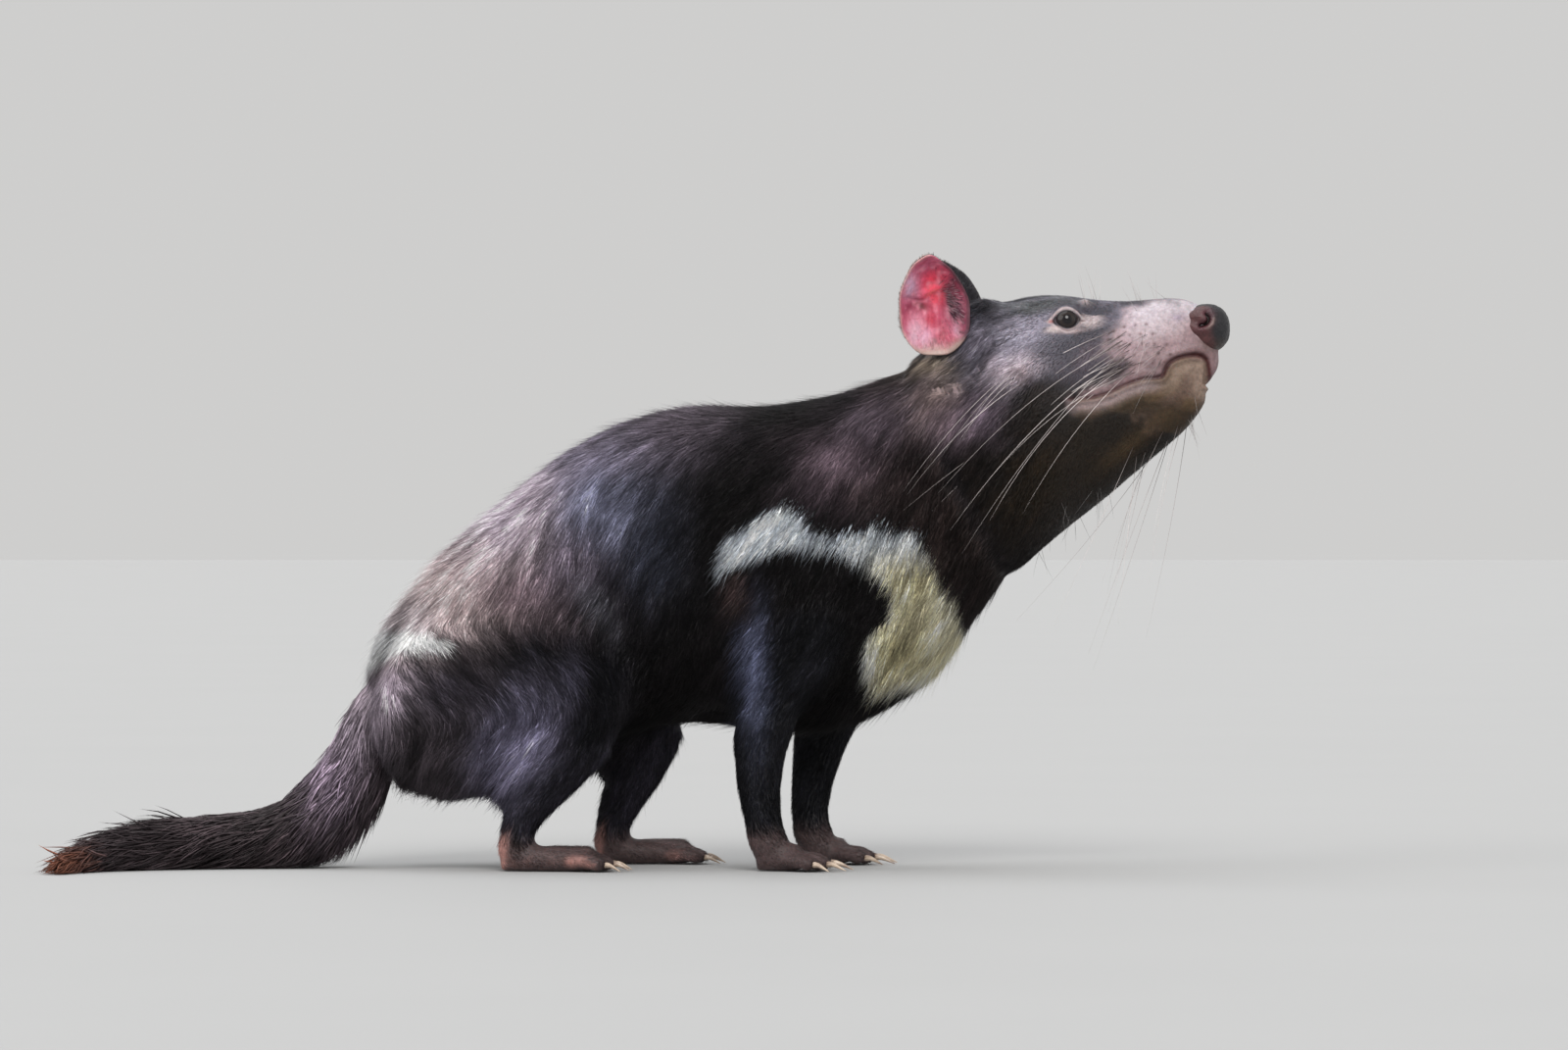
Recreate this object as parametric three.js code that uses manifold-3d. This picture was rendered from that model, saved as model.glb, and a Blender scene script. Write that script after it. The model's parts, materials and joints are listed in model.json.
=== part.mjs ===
// Tasmanian devil standing with its head raised and its tail laid on the floor: a still, life-size model.
// Millimetres. +X points to the nose, +Z up, and the animal's right side is at -Y. The floor is z = 0.
// Every node is one closed solid whose surface is the outside of the coat.
import * as THREE from "three";
import Module from "manifold-3d";

const wasm = await Module();
wasm.setup();

// Driving dimensions
const SEAM = 0.3;
const HEAD_TURN = THREE.MathUtils.degToRad(-9);
const NECK_BEND_START = 95;
const NECK_BEND_END = 190;
const TRUNK_SIDES = 26;
const LIMB_SIDES = 14;
const RIGHT = -1;
const LEFT = 1;

// Outline of the trunk, neck and head from the rump to the muzzle, in the animal's middle plane.
// Each station gives [x, z] on the back and under the belly, half the width and how far down it is widest.
const TRUNK_STATIONS = [
  { top: [-184, 114], bottom: [-176, 88], half: 13, widest: 0.5 },
  { top: [-177, 134], bottom: [-160, 66], half: 29, widest: 0.5 },
  { top: [-162, 156], bottom: [-134, 54], half: 41, widest: 0.5 },
  { top: [-137, 183], bottom: [-103, 54], half: 49, widest: 0.5 },
  { top: [-104, 212], bottom: [-66, 63], half: 55, widest: 0.51 },
  { top: [-68, 240], bottom: [-34, 74], half: 60, widest: 0.53 },
  { top: [-32, 258], bottom: [-4, 81], half: 63, widest: 0.55 },
  { top: [5, 266], bottom: [24, 80], half: 64, widest: 0.56 },
  { top: [40, 266], bottom: [56, 76], half: 63, widest: 0.55 },
  { top: [68, 269], bottom: [90, 78], half: 61, widest: 0.52 },
  { top: [90, 274], bottom: [120, 91], half: 58, widest: 0.49 },
  { top: [110, 281], bottom: [148, 112], half: 54.5, widest: 0.46 },
  { top: [128, 289], bottom: [168, 142], half: 52, widest: 0.44 },
  { top: [147, 303], bottom: [186, 164], half: 51, widest: 0.43 },
  { top: [168, 316], bottom: [203, 180], half: 51, widest: 0.42 },
  { top: [188, 324], bottom: [219, 193], half: 47.5, widest: 0.42 },
  { top: [206, 327], bottom: [234, 205], half: 41.5, widest: 0.43 },
  { top: [224, 326], bottom: [248, 217], half: 34, widest: 0.45 },
  { top: [240, 323.5], bottom: [261, 228], half: 28, widest: 0.47 },
  { top: [256, 323], bottom: [273, 238], half: 24, widest: 0.5 },
  { top: [270, 324.5], bottom: [284, 247], half: 20.5, widest: 0.52 },
  { top: [282, 325], bottom: [293, 257], half: 17, widest: 0.52 },
  { top: [291, 323], bottom: [299.5, 268], half: 13.5, widest: 0.52 },
  { top: [297, 318], bottom: [303, 278], half: 9.5, widest: 0.5 },
  { top: [303, 306], bottom: [306.5, 286], half: 5.5, widest: 0.5 },
];
const TRUNK_RINGS_PER_SPAN = 2;
const TRUNK_SQUARENESS = 2.25;

// Muscle and bone that swell the trunk and head on both sides, as [x, |y|, z], reach and rise.
const SWELLINGS = [
  { at: [188, 42, 258], reach: 30, rise: 4.5 },
  { at: [221, 17, 325], reach: 8, rise: 2.2 },
  { at: [233, 20, 311], reach: 9, rise: -1.6 },
  { at: [263, 18, 299], reach: 15, rise: 3 },
  { at: [70, 56, 200], reach: 42, rise: 6 },
  { at: [-112, 48, 152], reach: 46, rise: 6 },
];

// Planes that part the trunk, each through a point [x, z] on the back and one under the belly
const NECK_BASE_CUT = { top: [106, 280], bottom: [146, 111] };
const HEAD_BASE_CUT = { top: [131, 290], bottom: [192, 168] };

// Mouth line from its corner to the front, as [x, z], with its gape, and where the jaw ends at the throat
const MOUTH_LINE = [
  [224, 266], [238, 267.8], [255, 275], [269, 279], [276.5, 281.5], [281, 288.6], [293, 292], [312, 286.5],
];
const MOUTH_GAPE = 0.9;
const JAW_END = [236, 196];
const LIP_RADIUS = 2.1;
const LIP_SINK = 0.9;
const LIP_END_SHARE = 0.55;

// Eyes, each where the line across the head at this [x, z] comes out, with the eyeball sunk in
const EYE_PLACE = [221, 311.1];
const EYE_RADIUS = 7.6;
const EYE_SINK = 4.8;
const LID_THICKNESS = 1.7;
const EYE_OPENING = { length: 14.2, height: 9.6, slant: 0.2, squareness: 1.6 };
const EYE_OUTWARD = [0.25, 1, 0.12];

// Nose pad: the bare pad in front of the muzzle, with a nostril on each side
const NOSE_CENTRE = [298.6, 0, 307.3];
const NOSE_SIZE = [13.2, 13.4, 13.8];
const NOSTRIL_WING = { at: [298.3, 8.6, 309.3], size: [10.5, 6.4, 9] };
const NOSTRIL = { at: [302.8, 12.4, 310.8], size: [5.2, 4.4, 3.4] };
const NOSE_GROOVE = { at: [311.8, 0, 302.3], size: [1.6, 0.8, 12] };

// Ears: a shallow oval cup on a fleshy root, with a ridge from its front edge to the forehead
const EAR_CENTRE = [144.5, 41.5, 319.5];
const EAR_HALF_HEIGHT = 30;
const EAR_HALF_WIDTH = 22.5;
const EAR_DEPTH = 12;
const EAR_THICKNESS = 2.2;
const EAR_UP = [-0.06, 0.34, 0.94];
const EAR_OUT = [0.3, 0.88, -0.3];
const EAR_TAPER = 0.16;
const EAR_CUP_POWER = 2.2;
const EAR_FRONT_RINGS = [0.2, 0.5, 0.75, 0.93];
const EAR_BACK_RINGS = [0.96, 0.78, 0.5, 0.2];
const EAR_SPOKES = 16;
const EAR_ROOT = { at: [158, 22, 300], size: [22, 12, 15] };
const EAR_RIDGE = { at: [174, 27, 320], size: [17, 9, 10] };

// Forelegs from the shoulder to the wrist, as centres [x, |y|, z] with half the depth and half the width
const FORELEG_STATIONS = {
  [RIGHT]: [
    { at: [76, 34, 196], deep: 26, wide: 14 },
    { at: [74, 40, 172], deep: 35, wide: 20 },
    { at: [68, 44, 143], deep: 35, wide: 21 },
    { at: [57, 45, 115], deep: 27, wide: 18 },
    { at: [47, 44, 92], deep: 20, wide: 15.5 },
    { at: [43, 43, 70], deep: 16.5, wide: 13.5 },
    { at: [42, 43, 50], deep: 14, wide: 12 },
    { at: [44, 43, 32], deep: 12, wide: 11.5 },
    { at: [47, 43, 18], deep: 11.5, wide: 12 },
    { at: [51, 43, 7], deep: 10, wide: 11 },
  ],
  [LEFT]: [
    { at: [100, 34, 190], deep: 24, wide: 14 },
    { at: [98, 40, 166], deep: 32, wide: 19 },
    { at: [94, 43, 138], deep: 32, wide: 20 },
    { at: [88, 44, 112], deep: 27, wide: 18 },
    { at: [82, 44, 90], deep: 21, wide: 15.5 },
    { at: [77, 43, 70], deep: 16.5, wide: 13.5 },
    { at: [73, 43, 50], deep: 13.5, wide: 12 },
    { at: [71, 43, 32], deep: 12, wide: 11.5 },
    { at: [73, 43, 18], deep: 11.5, wide: 12 },
    { at: [77, 43, 7], deep: 10, wide: 11 },
  ],
};
const ELBOW_CUT_HEIGHT = 93;
const WRIST_CUT_HEIGHT = 23;

// Thighs: a flattened mass from the rump to the knee
const THIGH_STATIONS = {
  [RIGHT]: [
    { at: [-178, 26, 92], deep: 14, wide: 8 },
    { at: [-162, 33, 90], deep: 44, wide: 22 },
    { at: [-138, 37, 91], deep: 54, wide: 28 },
    { at: [-108, 39, 97], deep: 57, wide: 30 },
    { at: [-78, 41, 102], deep: 53, wide: 28 },
    { at: [-52, 43, 104], deep: 43, wide: 23 },
    { at: [-34, 44, 102], deep: 27, wide: 16 },
    { at: [-26, 44, 101], deep: 9, wide: 7 },
  ],
  [LEFT]: [
    { at: [-176, 26, 94], deep: 14, wide: 8 },
    { at: [-158, 33, 91], deep: 42, wide: 22 },
    { at: [-130, 37, 92], deep: 52, wide: 28 },
    { at: [-98, 40, 97], deep: 54, wide: 29 },
    { at: [-62, 42, 101], deep: 49, wide: 27 },
    { at: [-30, 44, 101], deep: 40, wide: 23 },
    { at: [-9, 45, 98], deep: 26, wide: 16 },
    { at: [0, 45, 97], deep: 9, wide: 7 },
  ],
};

// Shanks from inside the thigh to the heel
const SHANK_STATIONS = {
  [RIGHT]: [
    { at: [-50, 44, 92], deep: 22, wide: 15 },
    { at: [-64, 45, 74], deep: 24, wide: 16 },
    { at: [-79, 46, 53], deep: 20, wide: 14.5 },
    { at: [-90, 47, 35], deep: 14.5, wide: 12 },
    { at: [-95, 47, 21], deep: 11, wide: 10.5 },
    { at: [-97, 47, 9], deep: 9.5, wide: 10 },
  ],
  [LEFT]: [
    { at: [-20, 45, 90], deep: 22, wide: 15 },
    { at: [-24, 46, 72], deep: 22, wide: 15.5 },
    { at: [-30, 47, 53], deep: 18, wide: 14 },
    { at: [-38, 47, 35], deep: 13.5, wide: 12 },
    { at: [-43, 47, 21], deep: 11, wide: 10.5 },
    { at: [-45, 47, 9], deep: 9.5, wide: 10 },
  ],
};
const ANKLE_CUT_HEIGHT = 19;

// Paws: a sole from the heel to the ball, then a fan of toes, each with one claw
const FOREPAW = {
  claws: "foreclaw",
  heelBack: 6,
  soleLength: 24,
  soleHeight: 9,
  soleHalfWidth: 12.5,
  turnOut: 0.1,
  toeAngles: [-0.62, -0.3, 0, 0.3, 0.62],
  toeLengths: [17, 21.5, 23, 21.5, 17],
  toeSpacing: 5.1,
  toeRadius: 5,
  clawLength: 12.5,
  clawRadius: 2.4,
};
const HINDPAW = {
  claws: "hindclaw",
  heelBack: 7,
  soleLength: 52,
  soleHeight: 8.5,
  soleHalfWidth: 12,
  turnOut: 0.1,
  toeAngles: [-0.3, -0.1, 0.1, 0.3],
  toeLengths: [19, 22, 22, 19],
  toeSpacing: 6,
  toeRadius: 4.9,
  clawLength: 10,
  clawRadius: 2.2,
};
const SOLE_SINK = 0.78;
const TOE_SIDES = 7;
const CLAW_SIDES = 5;
const SOLE_SIDES = 10;
const HEEL_WIDTH_SHARE = 0.62;
const TOE_ROOT_SHARE = 0.82;

// Toes by their share of the length, and claws beyond them, with height, depth and width by the radius
const TOE_PROFILE = [
  { along: 0, height: 1.1, deep: 1, wide: 1 },
  { along: 0.5, height: 1.3, deep: 1.06, wide: 1.02 },
  { along: 0.84, height: 0.85, deep: 0.98, wide: 0.95 },
  { along: 1, height: 0.72, deep: 0.62, wide: 0.66 },
];
const CLAW_PROFILE = [
  { along: -0.2, height: 0.9, deep: 1.12, wide: 0.88 },
  { along: 0.35, height: 0.92, deep: 0.66, wide: 0.52 },
  { along: 1, height: 0.16, deep: 0.12, wide: 0.09 },
];

// Tail: a core along a path, laid on the floor behind the feet, and rows of locks that lie towards its tip
const TAIL_PATH = [
  [-152, 0, 116], [-165, 0, 96], [-178, 0, 72], [-193, 0, 49], [-211, -1, 31], [-234, -3, 20],
  [-262, -9, 15.5], [-292, -20, 14], [-318, -36, 11.5], [-337, -57, 8], [-347, -80, 5.5],
];
const TAIL_CORE_RADII = [23, 22, 20, 18.5, 17.5, 16.5, 15.5, 14, 11.5, 8, 2.5];
const TAIL_SIDES = 12;
const TAIL_RINGS = 20;
const TAIL_CUTS = [0.39, 0.67];
const LOCK_ROWS = [
  { at: 0.26, count: 6 }, { at: 0.325, count: 6 }, { at: 0.42, count: 6 }, { at: 0.49, count: 6 },
  { at: 0.56, count: 6 }, { at: 0.7, count: 6 }, { at: 0.77, count: 6 }, { at: 0.84, count: 6 },
  { at: 0.9, count: 5 }, { at: 0.95, count: 4 },
];
const LOCK = { length: 40, halfWidth: 6.4, thickness: 2.2, sink: 4, rise: 5 };
const LOCK_TIP_THINNING = 0.45;
const LOCK_PROFILE = [
  { along: 0, lift: 0, half: 0.8, thick: 1 },
  { along: 0.33, lift: 0.75, half: 1, thick: 1 },
  { along: 0.7, lift: 1, half: 0.82, thick: 0.8 },
  { along: 1, lift: 1.05, half: 0.1, thick: 0.2 },
];
const LOCK_SEED = 7;

// Colours and roughness
const MATERIALS = {
  coat: new THREE.MeshStandardMaterial({ color: 0x221b1b, roughness: 0.8, metalness: 0 }),
  bare_skin: new THREE.MeshStandardMaterial({ color: 0xb58c88, roughness: 0.6, metalness: 0 }),
  ear_skin: new THREE.MeshStandardMaterial({ color: 0xd4667a, roughness: 0.6, metalness: 0 }),
  nose_pad: new THREE.MeshStandardMaterial({ color: 0x2b1d1f, roughness: 0.4, metalness: 0 }),
  eye: new THREE.MeshStandardMaterial({ color: 0x0d0a0a, roughness: 0.1, metalness: 0 }),
  claw: new THREE.MeshStandardMaterial({ color: 0x5b4a40, roughness: 0.5, metalness: 0 }),
};

// Numbers from 0 to 1 that are the same on every run
function seededRandom(seed) {
  let state = seed;
  return () => {
    state = (state * 1664525 + 1013904223) % 4294967296;
    return state / 4294967296;
  };
}

function vector([x, y, z]) {
  return new THREE.Vector3(x, y, z);
}

function onSide([x, y, z], side) {
  return new THREE.Vector3(x, side * y, z);
}

// A closed surface through rings of points, with a fan over each end
function loft(rings) {
  const sides = rings[0].length;
  const ends = [rings[0], rings.at(-1)].map((ring) =>
    ring.reduce((sum, p) => sum.add(p), new THREE.Vector3()).divideScalar(sides),
  );
  const points = [...rings.flat(), ...ends];
  const last = (rings.length - 1) * sides;
  const index = [];
  for (let i = 0; i < sides; i++) {
    const next = (i + 1) % sides;
    for (let row = 0; row < last; row += sides) {
      index.push(row + i, row + next, row + sides + i);
      index.push(row + next, row + sides + next, row + sides + i);
    }
    index.push(points.length - 2, next, i);
    index.push(points.length - 1, last + i, last + next);
  }
  const geometry = new THREE.BufferGeometry().setFromPoints(points);
  geometry.setIndex(index);
  return geometry;
}

// A geometry with shared vertices as a solid that faces out
function solid(geometry) {
  const vertProperties = new Float32Array(geometry.attributes.position.array);
  const triVerts = new Uint32Array(geometry.index.array);
  const made = new wasm.Manifold(new wasm.Mesh({ numProp: 3, vertProperties, triVerts }));
  if (made.volume() > 0) return made;
  return new wasm.Manifold(new wasm.Mesh({ numProp: 3, vertProperties, triVerts: triVerts.reverse() }));
}

function largest(shape) {
  return shape.decompose().reduce((a, b) => (a.volume() > b.volume() ? a : b));
}

function geometryOf(shape) {
  const mesh = shape.getMesh();
  const geometry = new THREE.BufferGeometry();
  geometry.setAttribute("position", new THREE.BufferAttribute(new Float32Array(mesh.vertProperties), 3));
  geometry.setIndex(new THREE.BufferAttribute(new Uint32Array(mesh.triVerts), 1));
  geometry.computeVertexNormals();
  return geometry;
}

// Both sides of a plane, half a seam away from it: first the side that the normal points to
function part(shape, point, normal) {
  const n = normal.clone().normalize();
  const offset = n.dot(point);
  return [
    largest(shape.trimByPlane(n.toArray(), offset + SEAM / 2)),
    largest(shape.trimByPlane(n.clone().negate().toArray(), SEAM / 2 - offset)),
  ];
}

function aboveFloor(shape) {
  return shape.trimByPlane([0, 0, 1], 0);
}

// An oval ring in the plane of up and side, with more or less square quarters
function ovalRing(middle, up, down, side, sides, squareness) {
  const power = 2 / squareness;
  return Array.from({ length: sides }, (_, i) => {
    const angle = (2 * Math.PI * i) / sides;
    const rise = Math.abs(Math.cos(angle)) ** power;
    const reach = Math.sign(Math.sin(angle)) * Math.abs(Math.sin(angle)) ** power;
    return middle
      .clone()
      .addScaledVector(Math.cos(angle) > 0 ? up : down, rise)
      .addScaledVector(side, reach);
  });
}

function swell(point, middle) {
  const outward = point.clone().sub(middle).normalize();
  for (const { at, reach, rise } of SWELLINGS) {
    const away = point.distanceTo(onSide(at, Math.sign(point.y) || LEFT)) / reach;
    point.addScaledVector(outward, rise * Math.exp(-away * away));
  }
  return point;
}

// A point of the straight animal where the head's turn takes it, with the bend spread along the neck
function turned(point) {
  const share = THREE.MathUtils.smoothstep(point.x, NECK_BEND_START, NECK_BEND_END);
  const pivot = new THREE.Vector3(NECK_BEND_START, 0, 0);
  return point.sub(pivot).applyAxisAngle(new THREE.Vector3(0, 0, 1), HEAD_TURN * share).add(pivot);
}

function turnedSolid(geometry) {
  const position = geometry.attributes.position;
  for (let i = 0; i < position.count; i++) {
    const point = turned(new THREE.Vector3().fromBufferAttribute(position, i));
    position.setXYZ(i, ...point.toArray());
  }
  return solid(geometry);
}

// The trunk, neck and head as one loft, grown outwards by a margin
function trunkLoft(grow, placed = turned) {
  const curve = (pick) => new THREE.CatmullRomCurve3(TRUNK_STATIONS.map(pick));
  const tops = curve(({ top: [x, z] }) => new THREE.Vector3(x, 0, z));
  const bottoms = curve(({ bottom: [x, z] }) => new THREE.Vector3(x, 0, z));
  const widths = curve(({ half, widest }) => new THREE.Vector3(half, widest, 0));
  const count = (TRUNK_STATIONS.length - 1) * TRUNK_RINGS_PER_SPAN;
  const rings = [];
  for (let i = 0; i <= count; i++) {
    const top = tops.getPoint(i / count);
    const bottom = bottoms.getPoint(i / count);
    const { x: half, y: widest } = widths.getPoint(i / count);
    const upright = top.clone().sub(bottom).setLength(grow);
    top.add(upright);
    bottom.sub(upright);
    const middle = top.clone().lerp(bottom, widest);
    const side = new THREE.Vector3(0, half + grow, 0);
    const ring = ovalRing(middle, top.sub(middle), bottom.sub(middle), side, TRUNK_SIDES, TRUNK_SQUARENESS);
    rings.push(ring.map((point) => placed(swell(point, middle))));
  }
  return loft(rings);
}

// A tube through stations { at, deep, wide }, its wide axis held near Y
function tube(stations, { side = LEFT, sides = LIMB_SIDES, grow = 0, squareness = 2.2 } = {}) {
  const path = new THREE.CatmullRomCurve3(stations.map(({ at }) => onSide(at, side)));
  const count = stations.length - 1;
  const rings = [];
  for (let i = 0; i <= count; i++) {
    const { deep, wide } = stations[i];
    const along = path.getTangent(i / count);
    const across = new THREE.Vector3(0, 1, 0).projectOnPlane(along).normalize();
    const fore = across.clone().cross(along).multiplyScalar(deep + grow);
    across.multiplyScalar(wide + grow);
    const end = i === 0 ? -grow : i === count ? grow : 0;
    const middle = path.getPoint(i / count).addScaledVector(along, end);
    rings.push(ovalRing(middle, fore, fore.clone().negate(), across, sides, squareness));
  }
  return loft(rings);
}

function ellipsoid(at, size, across = 12, down = 8) {
  const rings = [];
  for (let i = 1; i < down; i++) {
    const angle = (Math.PI * i) / down;
    const middle = new THREE.Vector3(at.x - size[0] * Math.cos(angle), at.y, at.z);
    const up = new THREE.Vector3(0, 0, size[2] * Math.sin(angle));
    const side = new THREE.Vector3(0, size[1] * Math.sin(angle), 0);
    rings.push(ovalRing(middle, up, up.clone().negate(), side, across, 2));
  }
  const poles = [-1, 1].map((end) => new THREE.Vector3(at.x + end * size[0], at.y, at.z));
  const geometry = loft(rings);
  const position = geometry.attributes.position;
  poles.forEach((pole, i) => position.setXYZ(position.count - 2 + i, ...pole.toArray()));
  return geometry;
}

// Where a line across the animal at (x, z) meets a surface on one side
function surfacePoint(surface, x, z, side) {
  const from = new THREE.Vector3(x, side * 200, z);
  const [hit] = new THREE.Raycaster(from, new THREE.Vector3(0, -side, 0)).intersectObject(surface);
  return hit.point;
}

// A slab in the middle plane's outline, as deep as the head is wide
function slab(outline) {
  const shape = new THREE.Shape(outline.map(([x, z]) => new THREE.Vector2(x, z)));
  const deep = 140;
  const geometry = new THREE.ExtrudeGeometry(shape, { depth: deep, bevelEnabled: false, steps: 1 });
  geometry.translate(0, 0, -deep / 2).rotateX(Math.PI / 2);
  return turnedSolid(welded(geometry));
}

function welded(geometry) {
  const positions = geometry.attributes.position;
  const seen = new Map();
  const points = [];
  const index = [];
  for (let i = 0; i < positions.count; i++) {
    const point = new THREE.Vector3().fromBufferAttribute(positions, i);
    const key = point.toArray().map((value) => value.toFixed(3)).join(" ");
    if (!seen.has(key)) seen.set(key, points.push(point) - 1);
    index.push(seen.get(key));
  }
  const closed = new THREE.BufferGeometry().setFromPoints(points);
  closed.setIndex(index);
  return closed;
}

// The mouth's slit with the seam that parts the lower jaw from the throat
function mouthCut() {
  const half = MOUTH_GAPE / 2;
  const above = MOUTH_LINE.map(([x, z]) => [x, z + half]);
  const below = MOUTH_LINE.map(([x, z]) => [x, z - half]).reverse();
  const [x, z] = JAW_END;
  const corner = below.pop();
  return slab([...above, ...below, [corner[0] + SEAM, corner[1]], [x + SEAM, z], [x, z]]);
}

// Lips: a soft rim above and below the mouth line on both sides
function lips(surface) {
  const reach = MOUTH_LINE.slice(0, -1);
  return [RIGHT, LEFT].flatMap((side) =>
    [LIP_RADIUS, -LIP_RADIUS].map((offset) => {
      const stations = reach.map(([x, z], i) => {
        const fullness = Math.sin((Math.PI * (i + 0.5)) / reach.length);
        const radius = LIP_RADIUS * (LIP_END_SHARE + (1 - LIP_END_SHARE) * fullness);
        const { y } = surfacePoint(surface, x, z + offset, side);
        return { at: [x, y - side * LIP_SINK, z + offset], deep: radius, wide: radius };
      });
      return turnedSolid(tube(stations, { sides: 5 }));
    }),
  );
}

function eyeCentre(surface, side) {
  const [x, z] = EYE_PLACE;
  const centre = surfacePoint(surface, x, z, side);
  centre.y -= side * EYE_SINK;
  return centre;
}

function eyeFrame(side) {
  const outward = onSide(EYE_OUTWARD, side).normalize();
  const forward = new THREE.Vector3(1, 0, EYE_OPENING.slant).projectOnPlane(outward).normalize();
  const up = outward.clone().cross(forward).multiplyScalar(-side);
  return { outward, forward, up };
}

// The almond between the lids, as a plug that reaches out of the head
function eyeOpening(centre, side) {
  const { outward, forward, up } = eyeFrame(side);
  const rings = [0, 2 * EYE_RADIUS].map((reach) => {
    const middle = centre.clone().addScaledVector(outward, reach);
    const high = up.clone().multiplyScalar(EYE_OPENING.height / 2);
    const wide = forward.clone().multiplyScalar(EYE_OPENING.length / 2);
    return ovalRing(middle, high, high.clone().negate(), wide, 12, EYE_OPENING.squareness);
  });
  return turnedSolid(loft(rings));
}

// The nose pad with its nostrils and middle groove
function nosePad() {
  const sides = [RIGHT, LEFT];
  const wings = sides.map((side) => turnedSolid(ellipsoid(onSide(NOSTRIL_WING.at, side), NOSTRIL_WING.size)));
  const holes = sides.map((side) => turnedSolid(ellipsoid(onSide(NOSTRIL.at, side), NOSTRIL.size, 8, 6)));
  let pad = turnedSolid(ellipsoid(vector(NOSE_CENTRE), NOSE_SIZE));
  for (const wing of wings) pad = pad.add(wing);
  for (const hole of holes) pad = pad.subtract(hole);
  return pad.subtract(turnedSolid(ellipsoid(vector(NOSE_GROOVE.at), NOSE_GROOVE.size, 6, 6)));
}

// The ear's cup: a front and a back sheet that meet at the rim, and the root that carries it
function ear(side) {
  const centre = onSide(EAR_CENTRE, side);
  const up = onSide(EAR_UP, side).normalize();
  const out = onSide(EAR_OUT, side).projectOnPlane(up).normalize();
  const across = up.clone().cross(out);
  const sheet = (share, depth) =>
    Array.from({ length: EAR_SPOKES }, (_, i) => {
      const angle = (2 * Math.PI * i) / EAR_SPOKES;
      const wide = EAR_HALF_WIDTH * (1 - EAR_TAPER * Math.cos(angle));
      return centre
        .clone()
        .addScaledVector(up, share * EAR_HALF_HEIGHT * Math.cos(angle))
        .addScaledVector(across, share * wide * Math.sin(angle))
        .addScaledVector(out, -depth);
    });
  const cup = (share) => EAR_DEPTH * (1 - share ** EAR_CUP_POWER);
  const front = EAR_FRONT_RINGS.map((share) => sheet(share, cup(share)));
  const rim = sheet(1, EAR_THICKNESS / 2);
  const back = EAR_BACK_RINGS.map((share) => sheet(share, cup(share) + EAR_THICKNESS));
  const flesh = [EAR_ROOT, EAR_RIDGE].map(({ at, size }) => turnedSolid(ellipsoid(onSide(at, side), size)));
  return wasm.Manifold.union([turnedSolid(loft([...front, rim, ...back])), ...flesh]);
}

// Paw of one leg, with the claws as { name, shape }
function paw(size, ankle, side, sideName) {
  const heading = side * size.turnOut;
  const forward = new THREE.Vector3(Math.cos(heading), Math.sin(heading), 0);
  const heel = ankle.clone().addScaledVector(forward, -size.heelBack).setZ(0);
  const soleAt = (share) => {
    const { x, y } = heel.clone().addScaledVector(forward, share * size.soleLength);
    return [x, y, size.soleHeight * SOLE_SINK];
  };
  const sole = [0, 0.3, 0.7, 1].map((share) => ({
    at: soleAt(share),
    deep: size.soleHeight,
    wide: size.soleHalfWidth * (HEEL_WIDTH_SHARE + (1 - HEEL_WIDTH_SHARE) * Math.sqrt(share)),
  }));
  let shape = solid(tube(sole, { sides: SOLE_SIDES }));
  const ball = vector(soleAt(TOE_ROOT_SHARE));
  const claws = [];
  size.toeAngles.forEach((angle, i) => {
    const turn = heading + angle;
    const along = new THREE.Vector3(Math.cos(turn), Math.sin(turn), 0);
    const sideways = new THREE.Vector3(-Math.sin(heading), Math.cos(heading), 0);
    const place = i - (size.toeAngles.length - 1) / 2;
    const root = ball.clone().addScaledVector(sideways, place * size.toeSpacing);
    const at = (reach, height) => root.clone().addScaledVector(along, reach).setZ(height).toArray();
    const radius = size.toeRadius;
    const reach = size.toeLengths[i];
    const toe = TOE_PROFILE.map(({ along, height, deep, wide }) => ({
      at: at(reach * along, radius * height),
      deep: radius * deep,
      wide: radius * wide,
    }));
    shape = shape.add(solid(tube(toe, { sides: TOE_SIDES })));
    const end = vector(toe.at(-1).at);
    const tangent = new THREE.CatmullRomCurve3(toe.map((station) => vector(station.at))).getTangent(1);
    const claw = CLAW_PROFILE.map(({ along, height, deep, wide }) => ({
      at: at(reach + along * size.clawLength, radius * height),
      deep: size.clawRadius * deep,
      wide: size.clawRadius * wide,
    }));
    const beyondToe = tangent.dot(end) + SEAM;
    const clawShape = solid(tube(claw, { sides: CLAW_SIDES })).trimByPlane(tangent.toArray(), beyondToe);
    claws.push({ name: `${size.claws}_${sideName}_${i + 1}`, shape: aboveFloor(clawShape) });
  });
  return { shape, claws };
}

// A point of the tail by its share of the length, the angle round it from the top, and height over the core
function tailFrame() {
  const path = new THREE.CatmullRomCurve3(TAIL_PATH.map(vector));
  const radii = new THREE.CatmullRomCurve3(TAIL_CORE_RADII.map((r) => new THREE.Vector3(r, 0, 0)));
  const axes = (share) => {
    const t = Math.min(share, 1);
    const along = path.getTangent(t);
    const beyond = along.clone().multiplyScalar((share - t) * path.getLength());
    const across = new THREE.Vector3(0, 1, 0).projectOnPlane(along).normalize();
    const up = along.clone().cross(across).negate();
    if (up.z < 0) up.negate();
    return { middle: path.getPoint(t).add(beyond), along, across, up, radius: radii.getPoint(t).x };
  };
  const point = (share, angle, height) => {
    const { middle, across, up, radius } = axes(share);
    const out = up.clone().multiplyScalar(Math.cos(angle)).addScaledVector(across, Math.sin(angle));
    return middle.addScaledVector(out, radius + height);
  };
  return { axes, point, length: path.getLength() };
}

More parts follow.
